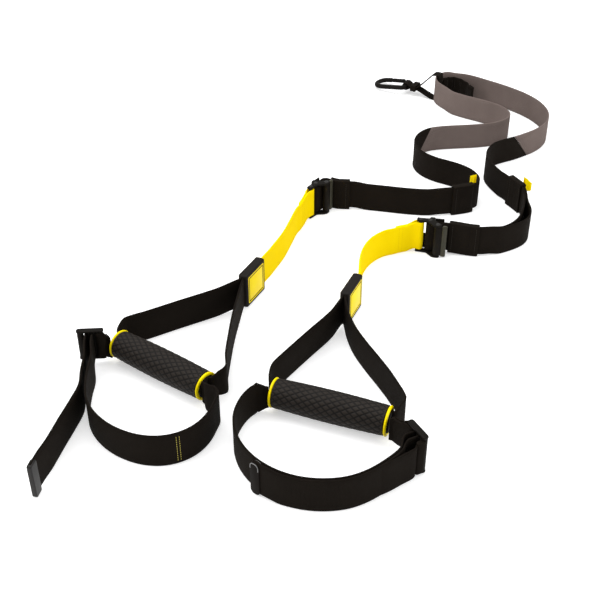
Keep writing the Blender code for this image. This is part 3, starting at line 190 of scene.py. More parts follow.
def addBump(tree, shader, height, depth, strength):
    node = tree.nodes.new("ShaderNodeBump")
    node.inputs["Distance"].default_value = depth
    node.inputs["Strength"].default_value = strength
    tree.links.new(height, node.inputs["Height"])
    tree.links.new(node.outputs[0], shader.inputs["Normal"])


weave = {
    "width": 0.038,
    "ribPitch": 0.00155,     # one warp rib across the webbing
    "crossPitch": 0.00115,   # one weft pick along it
    "selvage": 0.0022,       # the tighter edge of the webbing
    "bumpDepth": 0.00028,
    "roughness": 0.85,
    "cloudScale": 38.0,
    "fuzzScale": 900.0,
}


def webbingFinish(name, dark, light, specular):
    # the piece's own UV map is in metres: U along the strap, V across it
    made, tree, shader = newFinish(name, weave["roughness"], specular=specular)
    uv = tree.nodes.new("ShaderNodeUVMap")
    uv.uv_map = "along"
    split = tree.nodes.new("ShaderNodeSeparateXYZ")
    tree.links.new(uv.outputs[0], split.inputs[0])
    along = addMath(tree, "MULTIPLY", split.outputs["X"], 2 * math.pi / weave["crossPitch"])
    across = addMath(tree, "MULTIPLY", split.outputs["Y"], 2 * math.pi / weave["ribPitch"])
    ribs = addMath(tree, "SINE", across, 0.0)
    lean = addMath(tree, "MULTIPLY", ribs, 1.2)
    picks = addMath(tree, "SINE", addMath(tree, "ADD", along, lean), 0.0)
    woven = addMath(tree, "MULTIPLY", ribs, picks)
    level = addMath(tree, "ADD", addMath(tree, "MULTIPLY", woven, 0.30), 0.5)
    rim = addMath(tree, "PINGPONG", split.outputs["Y"], weave["width"] / 2)
    edge = addMath(tree, "DIVIDE", rim, weave["selvage"], clamp=True)
    cloud = addNoise(tree, uv.outputs[0], weave["cloudScale"])
    fuzz = addNoise(tree, uv.outputs[0], weave["fuzzScale"], 2.0)
    uneven = addMath(tree, "ADD", addMath(tree, "MULTIPLY", cloud, 0.5), addMath(tree, "MULTIPLY", fuzz, 0.35))
    share = addMath(tree, "ADD", level, addMath(tree, "SUBTRACT", uneven, 0.42), clamp=True)
    worn = addMath(tree, "MULTIPLY", share, addMath(tree, "ADD", addMath(tree, "MULTIPLY", edge, 0.25), 0.75))
    tree.links.new(mixColours(tree, worn, dark, light), shader.inputs["Base Color"])
    addBump(tree, shader, addMath(tree, "ADD", level, edge), weave["bumpDepth"], 0.8)
    return made


def metalFinish(name, dark, light, roughness, metallic, specular):
    made, tree, shader = newFinish(name, roughness, metallic, specular)
    coords = tree.nodes.new("ShaderNodeTexCoord").outputs["Object"]
    blotch = addNoise(tree, coords, 120.0)
    cast = mixColours(tree, blotch, dark, light)
    # convex edges are lighter: partly worn bare metal, partly a painted highlight along the edges
    geometry = tree.nodes.new("ShaderNodeNewGeometry")
    edgeWearAndHighlight = addMath(tree, "MULTIPLY", addMath(tree, "SUBTRACT", geometry.outputs["Pointiness"], 0.53), 5.0, True)
    bareAndHighlitColour = tuple(min(1.0, level * 2.2) for level in light)
    tree.links.new(mixColours(tree, edgeWearAndHighlight, cast, bareAndHighlitColour), shader.inputs["Base Color"])
    spread = addMath(tree, "MULTIPLY", addNoise(tree, coords, 600.0), 0.22)
    tree.links.new(addMath(tree, "ADD", spread, roughness - 0.11), shader.inputs["Roughness"])
    addBump(tree, shader, addNoise(tree, coords, 1400.0), 0.00006, 0.4)
    return made


def mouldedFinish(name, dark, light, roughness, grain, specular, grooveShadeColour=None):
    made, tree, shader = newFinish(name, roughness, specular=specular)
    coords = tree.nodes.new("ShaderNodeTexCoord").outputs["Object"]
    cloud = addNoise(tree, coords, 70.0)
    colour = mixColours(tree, cloud, dark, light)
    # painted shade: the grooves' lines take a much darker colour
    if grooveShadeColour:
        cut = tree.nodes.new("ShaderNodeAttribute")
        cut.attribute_name = "paintedGrooveShade"
        colour = mixColours(tree, cut.outputs["Fac"], colour, grooveShadeColour)
    tree.links.new(colour, shader.inputs["Base Color"])
    addBump(tree, shader, addNoise(tree, coords, grain), 0.00008, 0.5)
    return made


webbings = {
    # slot: name, dark, light, specular
    "black_webbing": ("blackWebbing", (0.0040, 0.0028, 0.0019), (0.0130, 0.0096, 0.0068), 0.06),
    "gray_webbing": ("grayWebbing", (0.112, 0.086, 0.077), (0.205, 0.160, 0.144), 0.12),
    "yellow_webbing": ("yellowWebbing", (0.90, 0.62, 0.0), (1.0, 0.80, 0.0), 0.05),
}
metals = {
    # slot or use: name, dark, light, roughness, metallic, specular
    "dark_metal": ("darkMetal", (0.0045, 0.0037, 0.0029), (0.0100, 0.0084, 0.0066), 0.50, 0.1, 0.06),
    "oliveMetal": ("oliveMetal", (0.028, 0.027, 0.018), (0.048, 0.045, 0.031), 0.40, 0.3, 0.2),
    "steel": ("bareSteel", (0.012, 0.011, 0.010), (0.028, 0.026, 0.024), 0.36, 0.4, 0.3),
}
mouldings = {
    # slot or use: name, dark, light, roughness, grain, specular, and the colour of the painted shade in its grooves
    "black_rubber": ("blackRubber", (0.0065, 0.0050, 0.0040), (0.0120, 0.0095, 0.0078), 0.62, 900, 0.12),
    "gripRubber": ("gripRubber", (0.0135, 0.0102, 0.0080), (0.0235, 0.0186, 0.0148), 0.58, 900, 0.14,
                   (0.0012, 0.0008, 0.0006)),
    "black_plastic": ("blackPlastic", (0.0048, 0.0036, 0.0028), (0.0095, 0.0074, 0.0060), 0.54, 700, 0.04),
    "clipPlastic": ("clipPlastic", (0.010, 0.0090, 0.0084), (0.019, 0.0172, 0.0164), 0.42, 700, 0.18),
    # a pale colour that paints the highlight on the right clip's rounded top
    "rimPlastic": ("rimPlastic", (0.16, 0.16, 0.16), (0.24, 0.24, 0.24), 0.40, 700, 0.35),
    "yellow_plastic": ("yellowPlastic", (0.95, 0.70, 0.0), (1.0, 0.82, 0.0), 0.40, 700, 0.1),
    "yellowThread": ("yellowThread", (0.55, 0.47, 0.09), (0.70, 0.60, 0.14), 0.75, 2500, 0.1),
    "blackThread": ("blackThread", (0.016, 0.013, 0.011), (0.030, 0.025, 0.021), 0.70, 2500, 0.2),
    "grayThread": ("grayThread", (0.085, 0.068, 0.062), (0.13, 0.105, 0.098), 0.75, 2500, 0.1),
    "goldThread": ("goldThread", (0.74, 0.50, 0.0), (0.86, 0.62, 0.0), 0.75, 2500, 0.1),
}


def makeFinishes():
    made = {}
    for kind, finishOf in ((webbings, webbingFinish), (metals, metalFinish), (mouldings, mouldedFinish)):
        for use, values in kind.items():
            made[use] = finishOf(*values)
    return made


# Small tools for the bench

def freeHands():
    if bpy.context.object and bpy.context.object.mode != "OBJECT":
        bpy.ops.object.mode_set(mode="OBJECT")
    bpy.ops.object.select_all(action="DESELECT")


def pickUp(piece):
    freeHands()
    bpy.context.view_layer.objects.active = piece
    piece.select_set(True)


def editAll(piece):
    pickUp(piece)
    bpy.ops.object.mode_set(mode="EDIT")
    bpy.ops.mesh.select_all(action="SELECT")


def endEdit():
    bpy.ops.object.mode_set(mode="OBJECT")


def endOutward():
    # ends the edit with all faces turned outward
    bpy.ops.mesh.select_all(action="SELECT")
    bpy.ops.mesh.normals_make_consistent(inside=False)
    endEdit()


def applyModifiers(piece):
    pickUp(piece)
    for modifier in list(piece.modifiers):
        bpy.ops.object.modifier_apply(modifier=modifier.name)


def carve(target, tool):
    # cuts the tool's form out of the target, and the tool is gone
    cut = target.modifiers.new("cut", "BOOLEAN")
    cut.operation = "DIFFERENCE"
    cut.solver = "EXACT"
    cut.object = tool
    applyModifiers(target)
    bpy.data.objects.remove(tool)


def roundEdges(piece, width, segments=3, angle=40):
    soft = piece.modifiers.new("edges", "BEVEL")
    soft.width = width
    soft.segments = segments
    soft.limit_method = "ANGLE"
    soft.angle_limit = math.radians(angle)
    applyModifiers(piece)


def smoothSkin(piece, angle=35):
    pickUp(piece)
    bpy.ops.object.shade_smooth_by_angle(angle=math.radians(angle))


def weld(pieces):
    freeHands()
    bpy.context.view_layer.objects.active = pieces[0]
    for piece in pieces:
        piece.select_set(True)
    bpy.ops.object.join()
    return pieces[0]


def handOver(piece, name, like, finish=None, replaced=()):
    # name, finish and body; "like" is the CAD node whose body and slot it shares
    piece.name = name
    piece.data.name = name
    slot = slotOf[like]
    piece.data.materials.clear()
    piece.data.materials.append(finishes[finish or slot])
    if replaced:
        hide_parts(*replaced)
    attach(piece, bodyOf[like])
    return piece


def spot(place, heading, height=0.0):
    return Matrix.Translation((place[0], place[1], height)) @ Matrix.Rotation(heading, 4, "Z")


def boxMiddle(node):
    low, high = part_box(node)
    return ((low + high) / 2).to_2d()


def boxSpot(node, heading):
    return spot(boxMiddle(node), heading)


def rectangle(start, end, right, left):
    return [(start, right), (end, right), (end, left), (start, left)]


def raiseOutline(outline, low, high, place, corner=0.0, steps=5):
    # a flat outline with rounded corners, raised from low to high
    freeHands()
    bpy.ops.mesh.primitive_circle_add(vertices=len(outline), radius=0.01, fill_type="NGON")
    piece = bpy.context.object
    for vertex, (along, left) in zip(piece.data.vertices, outline):
        vertex.co = (along, left, low)
    editAll(piece)
    if corner:
        bpy.ops.mesh.bevel(offset=corner, segments=steps, affect="VERTICES")
        bpy.ops.mesh.select_all(action="SELECT")
    bpy.ops.mesh.extrude_region_move(TRANSFORM_OT_translate={"value": (0, 0, high - low)})
    endOutward()
    piece.data.transform(place)
    return piece


def copyNode(node):
    # a CAD node's mesh as one closed shell with clean flat faces
    piece = nodes[node].copy()
    piece.data = nodes[node].data.copy()
    for key in list(piece.keys()):
        del piece[key]
    piece.parent = None
    scene.collection.objects.link(piece)
    editAll(piece)
    bpy.ops.mesh.remove_doubles(threshold=0.000001)
    bpy.ops.mesh.dissolve_limited(angle_limit=math.radians(1))
    endEdit()
    return piece


def metreUv(piece, heading):
    # UV in metres for sleeves: the webbing runs round them, so U is the height
    mesh = piece.data
    for old in list(mesh.uv_layers):
        mesh.uv_layers.remove(old)
    layer = mesh.uv_layers.new(name="along")
    ahead = Vector((math.cos(heading), math.sin(heading), 0))
    aside = upward.cross(ahead)
    for face in mesh.polygons:
        flat = abs(face.normal.z) > 0.7
        for loop in face.loop_indices:
            place = mesh.vertices[mesh.loops[loop].vertex_index].co
            layer.data[loop].uv = (place.dot(aside) if flat else place.z, place.dot(ahead))


# Webbing: each strap is laid again over its solid, as a finer woven band

bandShape = {
    "solid": 0.0022,         # thickness of the CAD webbing
    "woven": 0.0020,
    "web": 0.0019,           # thickness where it passes a slider
    "tab": 0.0012,           # and of the pull tabs
    "step": 0.0016,          # length of one row of faces
    "columns": 6,
    "edgeRound": 0.0007,
}
laid = {}                    # rows of (low, high) edge points, kept for the stitching


def middleOfPair(pair):
    return sum((corner.co for corner in pair), Vector()) / 2


def pairPlace(pair, closed):
    # rounded, so both edges of a closed band start at the same place and turn the same way
    middle = middleOfPair(pair)
    if closed:
        middle -= anchor["across"] * middle.dot(anchor["across"])
    return [round(value, 5) for value in middle]


def lineOfPairs(corners, node, thickness, closed):
    # corners that face each other across the thickness make pairs, and the pairs make a line
    pairOf = {}
    for corner in corners:
        for edge in corner.link_edges:
            other = edge.other_vert(corner)
            if other in corners and abs(edge.calc_length() - thickness) < 0.00002:
                pairOf[corner] = frozenset((corner, other))
    beside = {pair: set() for pair in pairOf.values()}
    for corner, pair in pairOf.items():
        for edge in corner.link_edges:
            other = pairOf.get(edge.other_vert(corner))
            if other and other != pair:
                beside[pair].add(other)
    ends = [pair for pair in beside if len(beside[pair]) == 1]
    if len(ends) != (0 if closed else 2):
        raise RuntimeError("%s has %d ends" % (node, len(ends)))
    first = min(ends or beside, key=lambda pair: pairPlace(pair, closed))
    line = [first]
    seen = {first}
    while len(line) < len(beside):
        ahead = [pair for pair in beside[line[-1]] if pair not in seen]
        if len(ahead) != (2 if closed and len(line) == 1 else 1):
            raise RuntimeError("%s branches after %d of %d pairs" % (node, len(line), len(beside)))
        line.append(min(ahead, key=lambda pair: pairPlace(pair, closed)))
        seen.add(line[-1])
    return [middleOfPair(pair) for pair in line]


def edgeLinesOf(node, thickness, across, closed):
    # the band's two edge lines, read from its solid
    mesh = bmesh.new()
    mesh.from_mesh(nodes[node].data)
    bmesh.ops.remove_doubles(mesh, verts=mesh.verts, dist=0.0000002)
    lowCorners = set()
    highCorners = set()
    for corner in mesh.verts:
        steps = [(edge.other_vert(corner).co - corner.co).dot(across) for edge in corner.link_edges]
        if max(steps) > -min(steps):
            lowCorners.add(corner)
        else:
            highCorners.add(corner)
    lows = lineOfPairs(lowCorners, node, thickness, closed)
    highs = lineOfPairs(highCorners, node, thickness, closed)
    mesh.free()
    if len(lows) != len(highs):
        raise RuntimeError("%s has %d low pairs and %d high ones" % (node, len(lows), len(highs)))
    straight = (lows[0] - highs[0]).length + (lows[-1] - highs[-1]).length
    crossed = (lows[0] - highs[-1]).length + (lows[-1] - highs[0]).length
    if crossed < straight:
        highs.reverse()
    return lows, highs


def between(points, index, share, closed):
    # a curve through the points whose bends don't swing wide where the steps change in length
    count = len(points)
    if closed:
        before, start, end, after = (points[(index + step) % count] for step in (-1, 0, 1, 2))
    else:
        start = points[index]
        end = points[index + 1]
        before = points[max(index - 1, 0)]
        after = points[min(index + 2, count - 1)]
    span = (end - start).length
    leave = (end - before) * (span / ((end - before).length or span))
    arrive = (after - start) * (span / ((after - start).length or span))
    t = share
    return (start * (2 * t ** 3 - 3 * t ** 2 + 1) + end * (3 * t ** 2 - 2 * t ** 3)
            + leave * (t ** 3 - 2 * t ** 2 + t) + arrive * (t ** 3 - t ** 2))


def rowsOf(node, thickness=bandShape["solid"], across=upward, closed=False):
    lows, highs = edgeLinesOf(node, thickness, across, closed)
    rows = []
    count = len(lows)
    for index in range(count if closed else count - 1):
        following = (index + 1) % count
        span = ((lows[following] - lows[index]).length + (highs[following] - highs[index]).length) / 2
        pieces = max(1, round(span / bandShape["step"]))
        for piece in range(pieces):
            share = piece / pieces
            rows.append((between(lows, index, share, closed), between(highs, index, share, closed)))
    rows.append(rows[0] if closed else (lows[-1], highs[-1]))
    return rows


def travelOf(rows):
    travel = [0.0]
    for first, second in zip(rows, rows[1:]):
        travel.append(travel[-1] + ((second[0] + second[1]) - (first[0] + first[1])).length / 2)
    return travel


def weaveBand(rows, thickness):
    columns = bandShape["columns"]
    freeHands()
    bpy.ops.mesh.primitive_grid_add(x_subdivisions=columns, y_subdivisions=len(rows) - 1, size=0.1)
    piece = bpy.context.object
    mesh = piece.data
    travel = travelOf(rows)
    places = []
    for row, (low, high) in enumerate(rows):
        for column in range(columns + 1):
            share = column / columns
            mesh.vertices[row * (columns + 1) + column].co = low + (high - low) * share
            places.append((travel[row], (high - low).length * share))
    layer = mesh.uv_layers.active
    layer.name = "along"
    for loop in mesh.loops:
        layer.data[loop.index].uv = places[loop.vertex_index]
    if (rows[0][0] - rows[-1][0]).length < 0.000001:
        editAll(piece)
        bpy.ops.mesh.remove_doubles(threshold=0.000002)
        endEdit()
    wall = piece.modifiers.new("thickness", "SOLIDIFY")
    wall.thickness = thickness
    wall.offset = 0
    wall.use_even_offset = True
    applyModifiers(piece)
    roundEdges(piece, min(bandShape["edgeRound"], thickness * 0.35), 2, 60)
    for vertex in mesh.vertices:
        vertex.co.z = max(vertex.co.z, 0.0)
    mesh.shade_smooth()
    return piece


def layStrap(node, rows=None, thickness=bandShape["woven"]):
    laid[node] = rows or rowsOf(node)
    return handOver(weaveBand(laid[node], thickness), node + "_woven", node, replaced=(node,))


# Stitching: one stitch is made and copied along each seam

stitch = {
    "length": 0.0022,
    "width": 0.00055,
    "height": 0.00042,
    "pitch": 0.0031,
    "search": 0.003,         # the skin is looked for this far to the facing side
}


def makeStitch():
    freeHands()
    bpy.ops.mesh.primitive_uv_sphere_add(segments=8, ring_count=5, radius=0.5)
    base = bpy.context.object
    base.data.transform(Matrix.Rotation(math.pi / 2, 4, "Y"))
    base.data.transform(Matrix.Diagonal((stitch["length"], stitch["width"], stitch["height"], 1)))
    corners = [vertex.co.copy() for vertex in base.data.vertices]
    faces = [tuple(face.vertices) for face in base.data.polygons]
    bpy.data.objects.remove(base)
    return corners, faces


def sewSeams(name, lines, target, like, finish, pitch=stitch["pitch"]):
    # each line is (points, facing): stitches sit on the target's skin, seen from the facing side
    corners, faces = stitchShape
    points = []
    joined = []
    for line, facing in lines:
        left = 0.0
        for start, end in zip(line, line[1:]):
            span = (end - start).length
            while left < span:
                wanted = start + (end - start) * (left / span) + facing * stitch["search"]
                found, skin, normal, face = target.closest_point_on_mesh(wanted)
                along = (end - start).normalized()
                aside = normal.cross(along).normalized()
                turn = Matrix((along, aside, normal)).transposed()
                first = len(points)
                points += [skin + turn @ corner for corner in corners]
                joined += [tuple(first + corner for corner in face) for face in faces]
                left += pitch
            left -= span
    mesh = bpy.data.meshes.new(name)
    mesh.from_pydata(points, [], joined)
    mesh.shade_smooth()
    piece = bpy.data.objects.new(name, mesh)
    scene.collection.objects.link(piece)
    return handOver(piece, name, like, finish)


def rowNear(node, place):
    rows = laid[node]
    flat = Vector(place)
    return min(range(len(rows)), key=lambda index: (((rows[index][0] + rows[index][1]) / 2).to_2d() - flat).length)


def firstIsNearer(rows, flat):
    return (rows[0][0].to_2d() - flat).length < (rows[-1][0].to_2d() - flat).length


def sideOf(rows, index):
    # level direction square to the band at a row
    first = rows[max(index - 1, 0)]
    second = rows[min(index + 1, len(rows) - 1)]
    ahead = (second[0] + second[1]) - (first[0] + first[1])
    return ahead.cross(upward).normalized()


def acrossRow(node, index, inset=0.003):
    # a line up a band at one row, a little in from both edges
    low, high = laid[node][index]
    length = (high - low).length
    return [low.lerp(high, inset / length), low.lerp(high, 1 - inset / length)]


def bothFaces(node, indices, inset=0.003):
    lines = []
    for index in indices:
        across = acrossRow(node, index, inset)
        facing = sideOf(laid[node], index)
        lines += [(across, facing), (across, -facing)]
    return lines


fold = {
    "solidRoot": 0.016,      # height of the solid where the folded webbing leaves the grip
    "root": 0.0290,          # and of the webbing laid here
    "lift": 0.35,            # share of the fold's loss that is at the floor
    "webLow": 0.0095,        # the slider webs are held up between the slider and the grip
    "webRoot": 0.0345,
    "slideReach": 0.016,     # the left slider gathers its webbing, out to this distance
    "webRootLow": 0.0055,
    "nearGrip": 0.016,       # webbing that ends this near to a grip is folded into it
    "into": 0.0038,          # how far it reaches on, to the grip's ring
    "intoHeight": 0.0270,
    "mouth": 0.45,           # share of the fold that opens on the handle straps
}


def standing(low, high, bottom, top):
    # a row over two places on the floor, from one height to another
    return Vector((low.x, low.y, bottom)), Vector((high.x, high.y, top))


def broaden(rows):
    # the fold opens out to the webbing's full height sooner than the solid's does
    full = weave["width"]
    opened = []
    for low, high in rows:
        folded = min(max((full - high.z + low.z) / (full - fold["solidRoot"]), 0.0), 1.0)
        loss = folded ** 2.4 * (full - fold["root"])
        bottom = min(low.z, low.z * max(0.0, 1 - 3 * folded) + loss * fold["lift"])
        opened.append(standing(low, high, bottom, bottom + full - loss))
    return opened


def raiseWeb(rows):
    tallest = max(high.z for low, high in rows)
    lowest = min(high.z for low, high in rows)
    raised = []
    for low, high in rows:
        share = (high.z - lowest) / (tallest - lowest)
        top = fold["webRoot"] + (tallest - fold["webRoot"]) * share
        bottom = fold["webRootLow"] + (fold["webLow"] - fold["webRootLow"]) * share
        raised.append(standing(low, high, bottom, top))
    return raised


def gather(rows, side):
    # the left slider is lower than the webbing is wide, and lifts its lower edge
    if slider["foot"][side] == 0:
        return rows
    centre = boxMiddle(side + "_cradle_slider")
    held = []
    for low, high in rows:
        beyond = max((low.to_2d() - centre).length - fold["slideReach"], 0.0)
        near = max(0.0, 1 - beyond / fold["slideReach"])
        lift = max(low.z, (slider["foot"][side] + slider["plate"] / 2) * near * near * (3 - 2 * near))
        held.append(standing(low, high, lift, high.z))
    return held


def gripLine(side):
    # the grip's middle and its axis
    return jointPlace[side + "_grip_roll"], jointAxis[side + "_grip_roll"]


def reachGrip(rows, side):
    # folded webbing that ends at the grip is carried on to its ring
    middle, axis = gripLine(side)
    for last in (False, True):
        low, high = rows[-1] if last else rows[0]
        centre = (low + high) / 2
        out = (centre - middle).dot(axis)
        away = centre - middle - axis * out
        if away.to_2d().length > fold["nearGrip"] or abs(out) > grip["ringMiddle"] + fold["nearGrip"]:
            continue
        inward = -axis * math.copysign(fold["into"], out) - upward * away.z
        more = []
        for share in (0.35, 0.7, 1.0):
            half = (high - low) / 2 * (1 - share) + upward * fold["intoHeight"] / 2 * share
            more.append((centre - half + inward * share, centre + half + inward * share))
        rows = rows + more if last else more[::-1] + rows
    return rows


def openMouth(rows, side):
    # outside the grip's rings the handle strap's upper edge stands a little higher
    middle, axis = gripLine(side)
    opened = []
    for (low, high), wide in zip(rows, broaden(rows)):
        out = abs(((low + high) / 2 - middle).dot(axis)) - grip["ringMiddle"]
        share = fold["mouth"] * min(max(out / fold["into"], 0.0), 1.0)
        opened.append((low, high.lerp(wide[1], share)))
    return opened


def layLongStraps():
    for node in ("center_strap", "left_strap", "right_strap"):
        layStrap(node)
    for side in sides:
        layStrap(side + "_yellow_strap")
        layStrap(side + "_handle_strap", openMouth(rowsOf(side + "_handle_strap"), side))
        cradle = gather(broaden(rowsOf(side + "_cradle_strap")), side)
        layStrap(side + "_cradle_strap", reachGrip(cradle, side))
        web = raiseWeb(rowsOf(side + "_slider_web"))
        layStrap(side + "_slider_web", reachGrip(web, side), bandShape["web"])


# Anchor: band round the gray strap, stitched wrap, and the ribbed band inside the bend

anchor = {
    "across": -jointAxis["carabiner_swing"],
    "ridgePitch": 0.0045,    # from one stitched row of the wrap to the next
    "ridge": 0.0007,
    "middleRidge": 0.4,      # share of the ridge within wrapReach of the middle
    "wrapCuts": 7,
    "wrapEdge": 0.0006,
    "wrapReach": 0.006,      # from the wrap's middle to beyond its broad faces
    "rowHalf": 0.0085,       # half the length of a stitched row
    "rowPitch": 0.0026,
    "tackPitch": 0.0024,
    "tackInset": 0.004,
    "padRib": 0.0098,        # from one bar tack to the next
    "padSwell": 0.0016,
    "padLow": 0.0065,        # the band is narrower than the strap behind it
    "padHigh": 0.0325,
    "padFree": 0.018,        # length that lies on the strap, before the band stands off it
    "padStandOff": 0.030,    # how far its end stands off
    "padDrift": 0.0150,      # and runs on
    "padFold": 0.0015,       # radius of the folded end
    "padTurnedBack": 0.011,
    "foldSteps": 6,
}


def layAnchor():
    layStrap("anchor_loop", rowsOf("anchor_loop", across=anchor["across"], closed=True))
    rows = rowsOf("equalizer_pad")
    if rows[0][0].x > rows[-1][0].x:
        rows.reverse()
    travel = travelOf(rows)
    whole = travel[-1]
    padded = []
    tacks = []
    for index, (low, high) in enumerate(rows):
        side = sideOf(rows, index)
        if side.y > 0:
            side = -side
        off = max(0.0, (travel[index] - anchor["padFree"]) / (whole - anchor["padFree"])) ** 1.5
        swell = anchor["padSwell"] * abs(math.sin(math.pi * travel[index] / anchor["padRib"]))
        ahead = (rows[min(index + 1, len(rows) - 1)][0] - rows[max(index - 1, 0)][0]).normalized()
        place = low + side * (swell + anchor["padStandOff"] * off) + ahead * anchor["padDrift"] * off
        padded.append(standing(place, place, anchor["padLow"], anchor["padHigh"]))
        beat = travel[index] / anchor["padRib"]
        if index and abs(beat - round(beat)) < bandShape["step"] / anchor["padRib"] / 2:
            tacks.append((index, side))
    padded += foldedEnd(padded)
    pad = layStrap("equalizer_pad", padded)
    lines = [(acrossRow("equalizer_pad", index + shift, anchor["tackInset"]), side)
             for index, side in tacks for shift in (-1, 0)]
    sewSeams("equalizer_tacks", lines, pad, "equalizer_pad", "blackThread", anchor["tackPitch"])
    wrapAnchor()


def foldedEnd(rows):
    # the band's end turns round towards the strap and lies back on itself
    ahead = (rows[-1][0] - rows[-2][0]).normalized()
    aside = upward.cross(ahead)
    radius = anchor["padFold"]
    steps = anchor["foldSteps"]
    turned = []
    for step in range(1, steps + 1):
        angle = math.pi * step / steps
        turned.append(ahead * radius * math.sin(angle) + aside * radius * (1 - math.cos(angle)))
    for step in range(1, steps + 1):
        turned.append(aside * 2 * radius - ahead * anchor["padTurnedBack"] * step / steps)
    return [(rows[-1][0] + shift, rows[-1][1] + shift) for shift in turned]


def wrapAnchor():
    ahead = anchor["across"].cross(upward).normalized()
    if ahead.dot(jointPlace["carabiner_swing"] - Vector(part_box("center_strap")[0])) > 0:
        ahead = -ahead
    wrap = copyNode("anchor_wrap")
    editAll(wrap)
    bpy.ops.mesh.subdivide(number_cuts=anchor["wrapCuts"])
    endEdit()
    roundEdges(wrap, anchor["wrapEdge"], 2, 60)
    centre = sum((vertex.co for vertex in wrap.data.vertices), Vector()) / len(wrap.data.vertices)
    for vertex in wrap.data.vertices:
        out = vertex.co - centre
        place = out.dot(ahead)
        out -= ahead * place
        swell = anchor["ridge"] * abs(math.sin(math.pi * place / anchor["ridgePitch"]))
        vertex.co += out.normalized() * swell * (1 if out.length > anchor["wrapReach"] else anchor["middleRidge"])
    metreUv(wrap, math.atan2(ahead.y, ahead.x))
    smoothSkin(wrap, 50)
    handOver(wrap, "anchor_wrap_bound", "anchor_wrap", replaced=("anchor_wrap",))
    half = anchor["across"] * anchor["rowHalf"]
    lines = []
    for step in (-1, 0, 1):
        for facing in (upward, -upward):
            middle = centre + ahead * anchor["ridgePitch"] * step + facing * anchor["wrapReach"]
            lines.append(([middle - half, middle + half], facing))
    sewSeams("anchor_wrap_stitches", lines, wrap, "anchor_wrap", "blackThread", anchor["rowPitch"])


# Keepers, buckle sleeves and pull tabs

sleeve = {
    "round": 0.0007,
    "seamInset": 0.0028,
    "seamOff": 0.004,        # the seams are looked for this far off the strap inside
    "seamEnds": (0.04, 0.96),
}
tab = {
    # how far each tab is drawn out, widened and shifted from its solid, and its heights
    "left": {"out": 0.80, "wide": 1.2, "shift": (0.0100, 0.0030), "low": 0.0300, "high": 0.0520, "fall": 0.25},
    "right": {"out": 1.00, "wide": 1.7, "shift": (0.0005, 0.0008), "low": 0.0290, "high": 0.0500, "fall": 0.5},
}


def headingAt(node, place):
    rows = laid[node]
    index = rowNear(node, place)
    ahead = rows[min(index + 2, len(rows) - 1)][0] - rows[max(index - 2, 0)][0]
    return math.atan2(ahead.y, ahead.x)


def dressSleeves(side):
    for part in ("_keeper", "_buckle_sleeve"):
        node = side + part
        piece = copyNode(node)
        roundEdges(piece, sleeve["round"], 3, 50)
        metreUv(piece, headingAt(side + "_strap", boxMiddle(node)))
        smoothSkin(piece, 50)
        handOver(piece, node + "_sewn", node, replaced=(node,))
        rows = laid[side + "_strap"]
        inside = [index for index, row in enumerate(rows) if insideBox(row, *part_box(node))]
        lines = []
        for index in sleeveEnds(inside):
            for facing in (sideOf(rows, index), -sideOf(rows, index)):
                shift = facing * sleeve["seamOff"]
                row = [rows[index][0].lerp(rows[index][1], share) + shift for share in sleeve["seamEnds"]]
                lines.append((row, facing))
        sewSeams(node + "_stitches", lines, piece, node, "blackThread")


def insideBox(row, low, high):
    middle = (row[0] + row[1]) / 2
    return low[0] < middle.x < high[0] and low[1] < middle.y < high[1]


def sleeveEnds(inside):
    # rows a little in from both ends of the first run that passes through the sleeve
    run = [inside[0]]
    for index in inside[1:]:
        if index != run[-1] + 1:
            break
        run.append(index)
    step = round(sleeve["seamInset"] / bandShape["step"])
    return [run[step + 1], run[-step - 2]]


def bendTabs(side):
    node = side + "_pull_tab"
    rows = rowsOf(node, thickness=bandShape["tab"])
    shape = tab[side]
    root = (rows[0][0] + rows[-1][0]) / 2
    far = max((row[0] for row in rows), key=lambda low: (low - root).length)
    out = (far - root).normalized()
    aside = upward.cross(out)
    folded = []
    for low, high in rows:
        away = (low - root).dot(out) * shape["out"]
        wide = (low - root).dot(aside) * shape["wide"]
        place = root + out * away + aside * wide + Vector((*shape["shift"], 0))
        # the top runs down to the loop's tip
        fall = 1 - shape["fall"] * ((low - root).length / (far - root).length)
        top = shape["low"] + (shape["high"] - shape["low"]) * fall
        folded.append(standing(place, place, shape["low"], top))
    layStrap(node, folded, bandShape["tab"])


# Cam buckles

buckle = {
    "headings": {"left": math.radians(55), "right": math.radians(-11)},
    "height": 0.0458,
    "plate": 0.0024,
    "corner": 0.0013,
    "edge": 0.0006,
    # outline of the side plates: along the strap from the eye bar, and to its left
    "outline": [(-0.0046, 0.0034), (-0.0046, -0.0034), (0.0090, -0.0044), (0.0160, -0.0124),
                (0.0192, -0.0140), (0.0250, -0.0140), (0.0268, -0.0120), (0.0266, -0.0072),
                (0.0208, -0.0040), (0.0178, 0.0012), (0.0176, 0.0074), (0.0118, 0.0074), (0.0105, 0.0036)],
    "bed": rectangle(0.0118, 0.0290, 0.0053, 0.0075),
    "bedCorner": 0.0008,
    "heel": rectangle(0.0022, 0.0122, 0.0054, 0.0074),
    "heelCorner": 0.0006,
    "heelHeight": 0.0225,
    "bars": [(0.0, 0.0), (0.0115, 0.0)],     # eye bar and strap bar
    "cam": (0.0220, -0.00983),
    "headRadius": 0.0027,
    "headHeight": 0.0008,
    # drum and thumb lever, seen along the cam's pin
    "drum": 0.0041,
    "tooth": 0.0005,
    "thumb": [(0.0024, -0.0040), (0.0050, -0.0026), (0.0098, -0.0024), (0.0098, -0.0004),
              (0.0052, -0.0004), (0.0042, 0.0011)],
    "lever": (0.0028, 0.0430),   # from and to, above the floor
    "leverEdge": 0.0004,
    # the bar along the lever's lip
    "bar": rectangle(0.00548, 0.01188, -0.0035, 0.0007),
    "barEnds": (0.0014, 0.0452),
    "barCorner": 0.001785,
    "barEdge": 0.0019,
}


def buckleSpot(side):
    return spot(jointPlace[side + "_handle_swing"], buckle["headings"][side])


